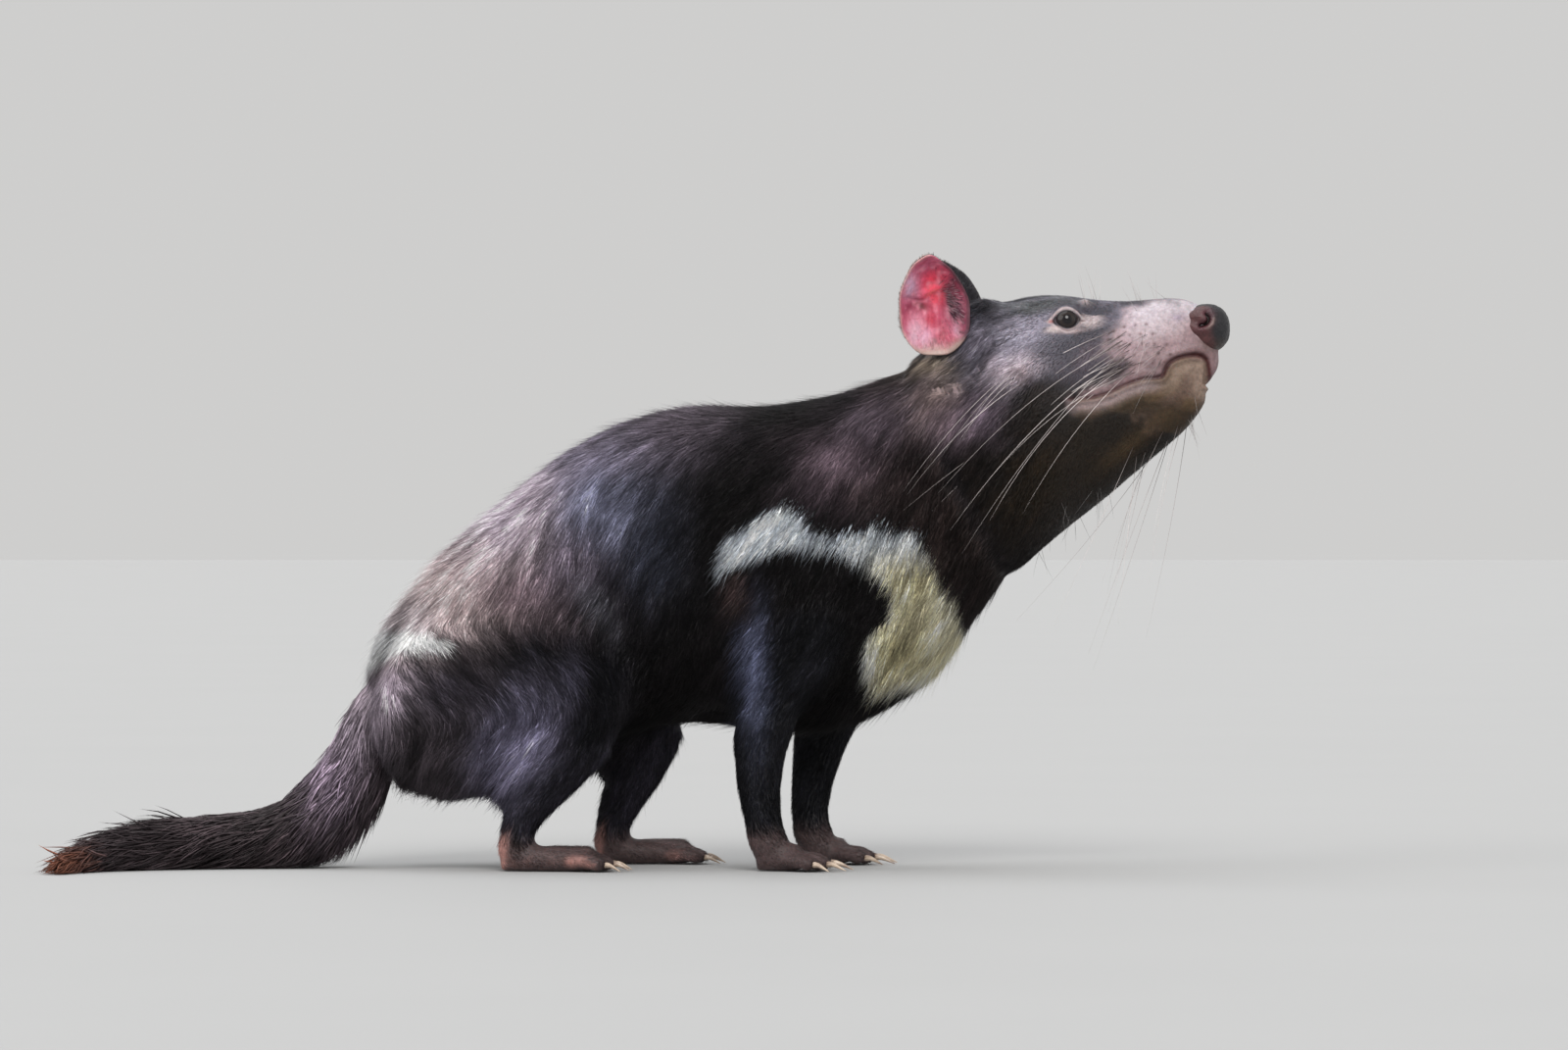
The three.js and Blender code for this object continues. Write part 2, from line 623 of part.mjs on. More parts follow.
function tailCore(tail) {
  const rings = [];
  for (let i = 0; i <= TAIL_RINGS; i++) {
    const share = i / TAIL_RINGS;
    const angles = Array.from({ length: TAIL_SIDES }, (_, k) => (2 * Math.PI * k) / TAIL_SIDES);
    rings.push(angles.map((angle) => tail.point(share, angle, 0)));
  }
  return solid(loft(rings));
}

// How each lock of one row leaves the core, varied by chance
function lockDraws({ at, count }, row, random) {
  return Array.from({ length: count }, (_, i) => ({
    start: at + 0.012 * (random() - 0.5),
    angle: (2 * Math.PI * (i + 0.5 * (row % 2) + 0.3 * (random() - 0.5))) / count,
    drift: 0.5 * (random() - 0.5),
    length: LOCK.length * (0.85 + 0.3 * random()),
    rise: LOCK.rise * (0.8 + 0.5 * random()),
  }));
}

// One flat, tapered lock that leaves the core, bends over and lies along the tail, grown by a margin
function tailLock(tail, { start, angle, drift, length, rise }, grow) {
  const thin = 1 - LOCK_TIP_THINNING * start ** 3;
  const rings = LOCK_PROFILE.map(({ along, lift, half, thick }) => {
    const share = start + (length * along) / tail.length;
    const height = lift * (LOCK.sink + rise * thin) - LOCK.sink;
    const middle = tail.point(share, angle + drift * along, height);
    const outward = tail.point(share, angle + drift * along, height + 1).sub(middle);
    const sideways = tail.axes(share).along.cross(outward).normalize();
    const edge = LOCK.halfWidth * thin * half + 1.7 * grow;
    return [
      middle.clone().addScaledVector(sideways, edge).addScaledVector(outward, -grow),
      middle.clone().addScaledVector(outward, LOCK.thickness * thick + grow),
      middle.clone().addScaledVector(sideways, -edge).addScaledVector(outward, -grow),
    ];
  });
  return solid(loft(rings));
}

// The tail in three lengths, each with its own rows of locks, and clear of the locks that lie over it
function tailNodes(margin) {
  const tail = tailFrame();
  const random = seededRandom(LOCK_SEED);
  const [first, second] = TAIL_CUTS.map((share) => tail.axes(share));
  const [beyond, root] = part(tailCore(tail), first.middle, first.along);
  const [tip, middle] = part(beyond, second.middle, second.along);
  const lengths = [
    { name: "tail_root", core: root, from: 0, to: TAIL_CUTS[0] },
    { name: "tail_middle", core: middle, from: TAIL_CUTS[0], to: TAIL_CUTS[1] },
    { name: "tail_tip", core: tip, from: TAIL_CUTS[1], to: 1 },
  ];
  let taken = margin;
  return lengths.map(({ name, core, from, to }) => {
    const rows = LOCK_ROWS.filter(({ at }) => at > from && at < to);
    const draws = rows.flatMap((row, i) => lockDraws(row, i, random));
    const locks = draws.map((draw) => tailLock(tail, draw, 0));
    const whole = aboveFloor(wasm.Manifold.union([core, ...locks])).subtract(taken);
    taken = wasm.Manifold.union([margin, ...draws.map((draw) => tailLock(tail, draw, SEAM))]);
    return { name, shape: largest(whole), material: "coat" };
  });
}

// Torso, neck, head, lower jaw, nose, ears and eyes
function trunkNodes(trunkMargin) {
  const planeOf = ({ top, bottom }) => {
    const ends = [top, bottom].map(([x, z]) => turned(new THREE.Vector3(x, 0, z)));
    const along = ends[1].clone().sub(ends[0]);
    const across = turned(new THREE.Vector3(bottom[0], LEFT, bottom[1])).sub(ends[1]);
    return { point: ends[0], normal: across.cross(along).negate() };
  };
  const straight = trunkLoft(0, (point) => point);
  const surface = new THREE.Mesh(straight, new THREE.MeshBasicMaterial({ side: THREE.DoubleSide }));
  surface.updateMatrixWorld();
  const neckBase = planeOf(NECK_BASE_CUT);
  const headBase = planeOf(HEAD_BASE_CUT);
  const [front, torso] = part(solid(trunkLoft(0)), neckBase.point, neckBase.normal);
  const [bareHead, neck] = part(front, headBase.point, headBase.normal);
  const nose = largest(nosePad().subtract(trunkMargin));
  let head = wasm.Manifold.union([bareHead, ...lips(surface)]);
  const globe = (centre, radius) => turnedSolid(ellipsoid(centre, Array(3).fill(radius), 12, 8));
  const eyes = [];
  for (const side of [RIGHT, LEFT]) {
    const centre = eyeCentre(surface, side);
    eyes.push(globe(centre, EYE_RADIUS));
    head = head.add(globe(centre, EYE_RADIUS + LID_THICKNESS));
    head = head.subtract(globe(centre, EYE_RADIUS + SEAM)).subtract(eyeOpening(centre, side));
  }
  const noseMargin = turnedSolid(ellipsoid(vector(NOSE_CENTRE), NOSE_SIZE.map((size) => size + SEAM)));
  const mouthed = head.subtract(mouthCut()).decompose();
  const [skull, jaw] = mouthed.sort((a, b) => b.volume() - a.volume());
  const ears = [RIGHT, LEFT].map((side) => largest(ear(side).subtract(trunkMargin)));
  return [
    { name: "torso", shape: torso, material: "coat" },
    { name: "neck", shape: neck, material: "coat" },
    { name: "head", shape: skull, material: "coat" },
    { name: "lower_jaw", shape: largest(jaw.subtract(noseMargin)), material: "bare_skin" },
    { name: "nose", shape: nose, material: "nose_pad" },
    { name: "ear_right", shape: ears[0], material: "ear_skin" },
    { name: "ear_left", shape: ears[1], material: "ear_skin" },
    { name: "eye_right", shape: eyes[0], material: "eye" },
    { name: "eye_left", shape: eyes[1], material: "eye" },
  ];
}

function forelegNodes(side, sideName, trunkMargin) {
  const stations = FORELEG_STATIONS[side];
  const hand = paw(FOREPAW, onSide(stations.at(-2).at, side), side, sideName);
  const leg = aboveFloor(solid(tube(stations, { side })).add(hand.shape));
  const up = new THREE.Vector3(0, 0, 1);
  const whole = largest(leg.subtract(trunkMargin));
  const [upper, rest] = part(whole, new THREE.Vector3(0, 0, ELBOW_CUT_HEIGHT), up);
  const [lower, foot] = part(rest, new THREE.Vector3(0, 0, WRIST_CUT_HEIGHT), up);
  return [
    { name: `upper_foreleg_${sideName}`, shape: upper, material: "coat" },
    { name: `lower_foreleg_${sideName}`, shape: lower, material: "coat" },
    { name: `forepaw_${sideName}`, shape: foot, material: "bare_skin" },
    ...hand.claws.map((claw) => ({ ...claw, material: "claw" })),
  ];
}

function thighTube(side, grow) {
  return solid(tube(THIGH_STATIONS[side], { side, sides: 18, grow }));
}

function hindlegNodes(side, sideName, trunkMargin) {
  const stations = SHANK_STATIONS[side];
  const foot = paw(HINDPAW, onSide(stations.at(-1).at, side), side, sideName);
  const thigh = largest(thighTube(side, 0).subtract(trunkMargin));
  const leg = aboveFloor(solid(tube(stations, { side })).add(foot.shape));
  const lower = largest(leg.subtract(trunkMargin).subtract(thighTube(side, SEAM)));
  const ankle = new THREE.Vector3(0, 0, ANKLE_CUT_HEIGHT);
  const [shank, sole] = part(lower, ankle, new THREE.Vector3(0, 0, 1));
  return [
    { name: `thigh_${sideName}`, shape: thigh, material: "coat" },
    { name: `shank_${sideName}`, shape: shank, material: "coat" },
    { name: `hindpaw_${sideName}`, shape: sole, material: "bare_skin" },
    ...foot.claws.map((claw) => ({ ...claw, material: "claw" })),
  ];
}

function build() {
  const trunkMargin = solid(trunkLoft(SEAM));
  const tailMargin = trunkMargin.add(thighTube(RIGHT, SEAM)).add(thighTube(LEFT, SEAM));
  const nodes = [
    ...trunkNodes(trunkMargin),
    ...[[RIGHT, "right"], [LEFT, "left"]].flatMap(([side, sideName]) => [
      ...forelegNodes(side, sideName, trunkMargin),
      ...hindlegNodes(side, sideName, trunkMargin),
    ]),
    ...tailNodes(tailMargin),
  ];
  const group = new THREE.Group();
  for (const { name, shape, material } of nodes) {
    const mesh = new THREE.Mesh(geometryOf(shape), MATERIALS[material]);
    mesh.name = name;
    group.add(mesh);
  }
  const box = new THREE.Box3().setFromObject(group);
  const middle = box.getCenter(new THREE.Vector3());
  group.position.set(-middle.x, -middle.y, -box.min.z);
  return group;
}

export default build();
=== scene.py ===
"""Tasmanian devil, life size: one skin over the body's forms, a coat of mesh tufts, and its finer pieces.

Sizes are in millimetres in the part's own coordinates (+X to the nose, right side at -Y, floor at z = 0),
and are turned into the frame's metres by to_frame(). "Straight" places are those before the head turns.
"""
import contextlib
import itertools
import json
import math

import bmesh
import bpy
import numpy as np
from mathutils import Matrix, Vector
from mathutils.bvhtree import BVHTree

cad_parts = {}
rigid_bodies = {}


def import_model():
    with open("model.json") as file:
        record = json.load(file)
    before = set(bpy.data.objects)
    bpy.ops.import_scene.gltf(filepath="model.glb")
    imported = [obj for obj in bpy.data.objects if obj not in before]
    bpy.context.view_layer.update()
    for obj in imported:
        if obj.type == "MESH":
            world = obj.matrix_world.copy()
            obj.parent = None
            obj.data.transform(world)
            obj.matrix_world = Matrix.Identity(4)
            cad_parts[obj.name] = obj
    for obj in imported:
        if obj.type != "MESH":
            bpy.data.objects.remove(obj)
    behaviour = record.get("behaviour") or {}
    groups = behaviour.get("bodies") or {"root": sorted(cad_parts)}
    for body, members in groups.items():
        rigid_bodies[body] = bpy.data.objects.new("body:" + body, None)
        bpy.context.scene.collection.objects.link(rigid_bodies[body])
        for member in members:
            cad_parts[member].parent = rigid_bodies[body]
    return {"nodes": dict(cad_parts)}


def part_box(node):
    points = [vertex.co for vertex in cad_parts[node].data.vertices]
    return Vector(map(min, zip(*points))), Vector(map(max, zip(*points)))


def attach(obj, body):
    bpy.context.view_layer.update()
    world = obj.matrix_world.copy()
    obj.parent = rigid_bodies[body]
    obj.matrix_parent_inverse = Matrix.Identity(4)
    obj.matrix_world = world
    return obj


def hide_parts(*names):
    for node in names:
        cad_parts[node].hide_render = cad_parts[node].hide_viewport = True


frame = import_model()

# Blender's own first objects aren't part of the model
for first in ("Cube", "Light", "Camera"):
    if first in bpy.data.objects:
        bpy.data.objects.remove(bpy.data.objects[first])
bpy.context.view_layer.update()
MM = 0.001
RIGHT, LEFT = -1, 1
SIDES = {"right": RIGHT, "left": LEFT}

# Where the part's coordinates lie in the frame: the rump's rear end and the middle plane
RUMP_END_X = -184
torso_low, torso_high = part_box("torso")
SHIFT = np.array([torso_low.x - RUMP_END_X * MM, (torso_low.y + torso_high.y) / 2, 0.0])

# Head turn, bent along the neck
HEAD_TURN = math.radians(-9)
NECK_BEND_START = 95
NECK_BEND_END = 190

# Photo frame: its size in pixels, and the millimetres that one pixel shows at the animal's middle plane
PHOTO_WIDTH = 1600
PHOTO_HEIGHT = 1071
PHOTO_SCALE = 0.56
PHOTO_ORIGIN = (699.3, 885)
PHOTO_MIDDLE = (PHOTO_WIDTH / 2, PHOTO_HEIGHT / 2)
CAMERA_DISTANCE = 4500

# Skin: the size of its voxels, how far the solids swell to close their seams, and where its mesh is finer
VOXEL = 2.0
SEAM_CLOSING = 0.4
HEAD_FINE_X = 196
HEAD_FINE_Z = 225
EYE_FINE_REACH = 15
MOUTH_FINE_X = 214
MOUTH_FINE_REACH = 6

# Rounds of smoothing for each region, and how the limbs' creases with the trunk are filled
SOFTENING = {
    "torso": 46, "neck": 46, "head": 16, "jaw": 16, "upper_foreleg": 40, "lower_foreleg": 24, "forepaw": 6,
    "thigh": 46, "shank": 28, "hindpaw": 6, "tail": 16, "ear_root": 14,
}
REGIONS = list(SOFTENING)
REGION_INDEX = {name: i for i, name in enumerate(REGIONS)}
REGION_ROUNDS = (6, 10)
SMOOTHING_STEP = 0.6
SWELL_BACK = 0.52
LIMB_ROOTS = ["thigh", "upper_foreleg", "tail", "ear_root"]
LIMB_ROUNDS = 34
CREASE_ROUNDS = 140
CREASE_FILL = 1.3
CREASE_START = 0.15

# Spine from the rump to the nose, as [x, z], along which the coat lies back
SPINE = [
    (-190, 98), (-170, 105), (-140, 118), (-104, 137), (-68, 150), (-34, 162), (5, 172), (40, 174), (74, 176),
    (105, 186), (136, 202), (158, 224), (180, 246), (204, 262), (228, 274), (250, 284), (272, 293), (300, 302),
]

# Tail: its path and the radii of its flesh
TAIL_PATH = [
    (-152, 0, 116), (-165, 0, 96), (-178, 0, 72), (-193, 0, 49), (-211, -1, 31), (-234, -3, 20),
    (-262, -9, 15.5), (-292, -20, 14), (-318, -36, 11.5), (-337, -57, 8), (-347, -80, 5.5),
]
TAIL_RADII = [21, 20, 18, 16.5, 15, 13.5, 12, 10.5, 8, 5, 2]

# Limbs: the axis of each leg from the top down, as [x, |y|, z]
LEG_AXES = {
    "foreleg_right": [(76, 34, 200), (68, 44, 143), (47, 44, 92), (42, 43, 50), (51, 43, 7)],
    "foreleg_left": [(100, 34, 194), (94, 43, 138), (82, 44, 90), (73, 43, 50), (77, 43, 7)],
    "hindleg_right": [(-110, 39, 150), (-60, 43, 104), (-64, 45, 74), (-90, 47, 35), (-97, 47, 9)],
    "hindleg_left": [(-100, 40, 150), (-34, 44, 104), (-24, 46, 72), (-38, 47, 35), (-45, 47, 9)],
}

# Mouth line from its corner round the front, as straight [x, z]
MOUTH_LINE = [
    (225.3, 266.6), (231, 267.4), (237.3, 267.8), (246.5, 270.6), (255.7, 275.2), (265.2, 278.4), (272, 279),
    (275.8, 280.2), (277.5, 283.6), (279.4, 287), (282.9, 289.6), (287.4, 291.1), (293, 292), (297.2, 291.4),
    (299.6, 289.2), (300.6, 285.5), (300.9, 281), (300.9, 275),
]
MOUTH_STEPS = 12

# Eyes: radius of the ball, length and height of the opening, its slant and taper, and where it looks
EYE_RADIUS = 7.6
EYE_OPENING = (15.0, 10.0)
EYE_SLANT = 0.12
EYE_TAPER = 0.35
EYE_OUTWARD = (0.25, 1, 0.12)

# Nose pad: its middle and half sizes, how deep the skin lies under it, its wings and the nostril's two paths
NOSE_CENTRE = (298.6, 0, 307.3)
NOSE_SIZE = (13.2, 13.4, 13.8)
NOSE_BED = 1.4
NOSE_SQUARENESS = 2.3
NOSE_WING = ((297.3, 8.4, 309.5), (10.8, 6.6, 9.2))
NOSTRIL = [(300.1, 315.9), (301.4, 313.9), (301.3, 311.3), (299.4, 309.2), (296.4, 308.3)]
NOSTRIL_FURROW = [(297.3, 309.8), (293.3, 310.8), (288.8, 311.8)]

# Colours, linear
BLACK_BROWN = (0.0076, 0.0062, 0.0069)
BLUE_BLACK = (0.0080, 0.0080, 0.0110)
RED_BROWN = (0.160, 0.120, 0.122)
GREY_VIOLET = (0.032, 0.029, 0.042)
WHITE_FUR = (0.83, 0.90, 1.00)
CREAM_FUR = (0.74, 0.64, 0.33)
MUZZLE_PINK = (0.325, 0.240, 0.255)
MUZZLE_VIOLET = (0.23, 0.155, 0.175)
MUZZLE_BROWN_AND_SHADE = (0.18, 0.110, 0.115)
CHIN_TAN = (0.082, 0.050, 0.026)
PALE_LID = (0.44, 0.365, 0.375)
PAW_SKIN = (0.15, 0.100, 0.100)

rng = np.random.default_rng(20)


def lerp(a, b, t):
    return a + (b - a) * t


def smooth(low, high, value):
    """0 below low, 1 above high, and smooth between."""
    t = np.clip((value - low) / (high - low), 0, 1)
    return t * t * (3 - 2 * t)


def unit(vectors):
    return vectors / np.maximum(np.linalg.norm(vectors, axis=-1, keepdims=True), 1e-9)


def to_frame(points):
    return np.asarray(points, float) * MM + SHIFT


def to_part(points):
    return (np.asarray(points, float) - SHIFT) / MM


def bell(value, width, middle=0):
    """1 at the middle, and falling away smoothly on both sides of it."""
    return np.exp(-(((value - middle) / width) ** 2))


def mirrored(place, side):
    """A place or direction of the left side, on the given side."""
    return np.array(place) * (1, side, 1)


def bend(points, share, direction=1):
    angle = HEAD_TURN * share * direction
    x, y = points[..., 0] - NECK_BEND_START, points[..., 1]
    out = points.copy()
    out[..., 0] = NECK_BEND_START + x * np.cos(angle) - y * np.sin(angle)
    out[..., 1] = x * np.sin(angle) + y * np.cos(angle)
    return out


def turned(points):
    """Straight places where the head's turn takes them."""
    points = np.asarray(points, float)
    return bend(points, smooth(NECK_BEND_START, NECK_BEND_END, points[..., 0]))


def straightened(points):
    """Turned places back on the straight animal."""
    points = np.asarray(points, float)
    straight = points.copy()
    for _ in range(6):
        straight = bend(points, smooth(NECK_BEND_START, NECK_BEND_END, straight[..., 0]), -1)
    return straight


def head_swing(straight):
    """Angle by which the head's turn swings what lies at each straight place."""
    return HEAD_TURN * smooth(NECK_BEND_START, NECK_BEND_END, straight[:, 0])


def swung(directions, angle):
    """Directions turned about the vertical."""
    out = directions.copy()
    out[:, 0] = directions[:, 0] * np.cos(angle) - directions[:, 1] * np.sin(angle)
    out[:, 1] = directions[:, 0] * np.sin(angle) + directions[:, 1] * np.cos(angle)
    return out


def laid_flat(lie, normal):
    """Directions laid into the surface with these normals."""
    return unit(lie - normal * (lie * normal).sum(1, keepdims=True))


def veered(lie, normal, angle):
    """Directions turned within the surface."""
    return unit(lie * np.cos(angle)[:, None] + np.cross(normal, lie) * np.sin(angle)[:, None])


def spline(a, b, c, d, t):
    """Place between b and c, at share t of the way, on a smooth curve through all four."""
    return 0.5 * (2 * b + (c - a) * t + (2 * a - 5 * b + 4 * c - d) * t**2 + (3 * b - a - 3 * c + d) * t**3)


def polyline(points, steps=24):
    """A smooth curve through the points, as places, tangents and the length up to each."""
    points = np.asarray(points, float)
    padded = np.vstack([2 * points[0] - points[1], points, 2 * points[-1] - points[-2]])
    t = np.linspace(0, 1, steps, endpoint=False)[:, None]
    places = [spline(*four, t) for four in zip(padded, padded[1:], padded[2:], padded[3:])]
    places = np.vstack(places + [points[-1:]])
    tangents = unit(np.gradient(places, axis=0))
    lengths = np.concatenate([[0], np.cumsum(np.linalg.norm(np.diff(places, axis=0), axis=1))])
    return places, tangents, lengths


def closed_curve(points, steps=6):
    """A smooth closed outline through the points."""
    p = np.asarray(points, float)
    four = (np.roll(p, 1, 0), p, np.roll(p, -1, 0), np.roll(p, -2, 0))
    places = [spline(*four, t) for t in np.linspace(0, 1, steps, endpoint=False)]
    return np.stack(places, axis=1).reshape(-1, 2)


def nearest_on(places, queries, chunk=20000):
    """Index of the nearest curve place for each query, and its distance."""
    index = np.empty(len(queries), int)
    away = np.empty(len(queries))
    for start in range(0, len(queries), chunk):
        block = queries[start:start + chunk]
        distance = ((block[:, None, :] - places[None]) ** 2).sum(-1)
        index[start:start + chunk] = distance.argmin(1)
        away[start:start + chunk] = np.sqrt(distance.min(1))
    return index, away


def away_from(path, straight, steps):
    """Distance from a path given as [x, z], seen from the side."""
    places, _, _ = polyline(path, steps)
    return nearest_on(places, straight[:, [0, 2]])[1]


def coordinates(mesh):
    co = np.empty(len(mesh.vertices) * 3)
    mesh.vertices.foreach_get("co", co)
    return co.reshape(-1, 3)


def set_coordinates(mesh, co):
    mesh.vertices.foreach_set("co", np.asarray(co, float).ravel())
    mesh.update()


def normals_of(mesh):
    n = np.empty(len(mesh.vertices) * 3)
    mesh.vertices.foreach_get("normal", n)
    return n.reshape(-1, 3)


@contextlib.contextmanager
def edited(mesh):
    """A mesh opened for editing, and written back at the end."""
    bm = bmesh.new()
    bm.from_mesh(mesh)
    yield bm
    bm.to_mesh(mesh)
    bm.free()


def shade_smooth(mesh):
    mesh.polygons.foreach_set("use_smooth", [True] * len(mesh.polygons))


def apply_modifiers(obj):
    """Gives an object the mesh that its modifiers make."""
    mesh = bpy.data.meshes.new_from_object(obj.evaluated_get(bpy.context.evaluated_depsgraph_get()))
    obj.modifiers.clear()
    old = obj.data
    obj.data = mesh
    bpy.data.meshes.remove(old)


def new_object(name, vertices, faces, material=None):
    mesh = bpy.data.meshes.new(name)
    mesh.from_pydata(np.asarray(vertices, float).tolist(), [], [tuple(map(int, f)) for f in faces])
    shade_smooth(mesh)
    mesh.update()
    obj = bpy.data.objects.new(name, mesh)
    bpy.context.scene.collection.objects.link(obj)
    if material:
        mesh.materials.append(material)
    return obj


def colour_attribute(mesh, name, colours):
    layer = mesh.color_attributes.new(name, "FLOAT_COLOR", "POINT")
    rgba = np.ones((len(colours), 4))
    rgba[:, :3] = colours
    layer.data.foreach_set("color", rgba.ravel())


def lattice(cells):
    """A steady random number from -1 to 1 for each whole-numbered place."""
    spread = cells.astype(np.uint64) * np.array([374761393, 668265263, 2246822519], np.uint64)
    mixed = (spread[..., 0] ^ spread[..., 1] ^ spread[..., 2]) & np.uint64(0xFFFFFFFF)
    mixed = ((mixed ^ (mixed >> np.uint64(15))) * np.uint64(2654435761)) & np.uint64(0xFFFFFFFF)
    mixed = ((mixed ^ (mixed >> np.uint64(13))) * np.uint64(1274126177)) & np.uint64(0xFFFFFFFF)
    return (mixed >> np.uint64(8)) / float(1 << 23) - 1


def value_noise(points, scale, seed=0):
    """Smooth noise from -1 to 1 at places in millimetres, with one feature each scale millimetres."""
    spot = np.asarray(points, float) / scale + (seed * 17.3 + 900.5, seed * 5.1 + 900.5, seed * 9.7 + 900.5)
    cell = np.floor(spot).astype(np.int64)
    t = smooth(0, 1, spot - cell)
    total = np.zeros(len(spot))
    for corner in itertools.product((0, 1), repeat=3):
        weight = np.where(corner, t, 1 - t).prod(axis=1)
        total += weight * lattice(cell + corner)
    return total


class Surface:
    """A mesh's edges, for smoothing what is known at its vertices."""

    def __init__(self, mesh):
        edges = np.empty(len(mesh.edges) * 2, int)
        mesh.edges.foreach_get("vertices", edges)
        self.a, self.b = edges.reshape(-1, 2).T
        self.count = len(mesh.vertices)
        ones = np.ones(len(self.a))
        degree = np.bincount(self.a, ones, self.count) + np.bincount(self.b, ones, self.count)
        self.degree = np.maximum(degree, 1)

    def mean(self, values):
        flat = values.reshape(self.count, -1)
        out = np.empty_like(flat)
        for k in range(flat.shape[1]):
            column = flat[:, k]
            total = np.bincount(self.a, column[self.b], self.count)
            total = total + np.bincount(self.b, column[self.a], self.count)
            out[:, k] = total / self.degree
        return out.reshape(values.shape)

    def smoothed(self, values, rounds, share=0.5):
        for _ in range(rounds):
            values = values + share * (self.mean(values) - values)
        return values


# Flesh

TRUNK_NODES = ["torso", "neck", "head", "lower_jaw"]
LIMB_NODES = [
    f"{name}_{side}"
    for side in SIDES
    for name in ("upper_foreleg", "lower_foreleg", "forepaw", "thigh", "shank", "hindpaw")
]
TAIL_NODES = ["tail_root", "tail_middle", "tail_tip"]
# Forms under the fur behind each ear's cup: [middle, half sizes]
EAR_FLESH = [((161, 18.5, 300), (22, 9.5, 14)), ((177, 19, 316), (18, 8.5, 10))]


def node_shape(node):
    """A CAD node's shared vertices and faces."""
    bm = bmesh.new()
    bm.from_mesh(frame["nodes"][node].data)
    bmesh.ops.remove_doubles(bm, verts=bm.verts, dist=1e-6)
    bm.normal_update()
    vertices = np.array([v.co[:] for v in bm.verts])
    outward = np.array([v.normal[:] for v in bm.verts])
    faces = [[v.index for v in f.verts] for f in bm.faces]
    bm.free()
    return vertices, outward, faces


def ellipsoid(centre, size, turns=24, rings=12):
    angles = np.linspace(0, 2 * np.pi, turns, endpoint=False)
    vertices = [(centre[0] - size[0], centre[1], centre[2])]
    for tilt in np.linspace(0, np.pi, rings + 1)[1:-1]:
        for a in angles:
            vertices.append((
                centre[0] - size[0] * math.cos(tilt),
                centre[1] + size[1] * math.sin(tilt) * math.sin(a),
                centre[2] + size[2] * math.sin(tilt) * math.cos(a),
            ))
    vertices.append((centre[0] + size[0], centre[1], centre[2]))
    faces = []
    for k in range(turns):
        nxt = (k + 1) % turns
        faces.append((0, 1 + nxt, 1 + k))
        for row in range(rings - 2):
            first = 1 + row * turns
            faces.append((first + k, first + nxt, first + turns + nxt, first + turns + k))
        first = 1 + (rings - 2) * turns
        faces.append((first + k, first + nxt, len(vertices) - 1))
    return np.array(vertices), faces


def tube(places, tangents, radii, turns=24):
    """A closed tube along a curve."""
    level = np.array([0.0, 1.0, 0.0])
    vertices = []
    for place, along, radius in zip(places, tangents, radii):
        across = unit(level - along * along.dot(level))
        up = np.cross(along, across)
        for a in np.linspace(0, 2 * np.pi, turns, endpoint=False):
            vertices.append(place + radius * (math.cos(a) * up + math.sin(a) * across))
    vertices += [places[0], places[-1]]
    faces = []
    for row in range(len(places) - 1):
        for k in range(turns):
            nxt = (k + 1) % turns
            first = row * turns
            faces.append((first + k, first + nxt, first + turns + nxt, first + turns + k))
    last = (len(places) - 1) * turns
    for k in range(turns):
        nxt = (k + 1) % turns
        faces.append((len(vertices) - 2, nxt, k))
        faces.append((len(vertices) - 1, last + k, last + nxt))
    return np.array(vertices), faces


def tail_curve():
    """The tail's places, tangents, the length up to each, and the radii of its flesh."""
    places, tangents, lengths = polyline(TAIL_PATH)
    shares = np.linspace(0, 1, len(TAIL_RADII))
    radii = np.interp(np.linspace(0, 1, len(places)), shares, TAIL_RADII)
    return places, tangents, lengths, radii


def region_of(node):
    """The region that a node of flesh belongs to."""
    if node == "lower_jaw":
        return "jaw"
    return node.rsplit("_", 1)[0] if node in LIMB_NODES else node


def flesh_parts():
    """Every closed form that the skin is made over, with the index of its region."""
    parts = []
    for node in TRUNK_NODES + LIMB_NODES:
        vertices, outward, faces = node_shape(node)
        parts.append((vertices + outward * SEAM_CLOSING * MM, faces, REGION_INDEX[region_of(node)]))
    for side in SIDES.values():
        for middle, size in EAR_FLESH:
            vertices, faces = ellipsoid(mirrored(middle, side), size)
            parts.append((to_frame(turned(vertices)), faces, REGION_INDEX["ear_root"]))
    for side in SIDES:
        vertices, _, faces = node_shape(f"eye_{side}")
        parts.append((vertices, faces, REGION_INDEX["head"]))
    vertices, faces = ellipsoid(NOSE_CENTRE, [size - NOSE_BED for size in NOSE_SIZE])
    parts.append((to_frame(turned(vertices)), faces, REGION_INDEX["head"]))
    places, tangents, _, radii = tail_curve()
    vertices, faces = tube(places[::4], tangents[::4], radii[::4])
    parts.append((to_frame(vertices), faces, REGION_INDEX["tail"]))
    return parts


def joined(parts):
    """Forms as one list of vertices and faces, with each face's region."""
    vertices, faces, regions = [], [], []
    offset = 0
    for v, f, region in parts:
        vertices.append(v)
        faces += [[i + offset for i in face] for face in f]
        regions += [region] * len(f)
        offset += len(v)
    return np.vstack(vertices), faces, np.array(regions)


def remeshed(obj, voxel):
    """Replaces an object's overlapping forms by one skin of voxels."""
    modifier = obj.modifiers.new("voxels", "REMESH")
    modifier.mode = "VOXEL"
    modifier.voxel_size = voxel * MM
    modifier.adaptivity = 0
    apply_modifiers(obj)


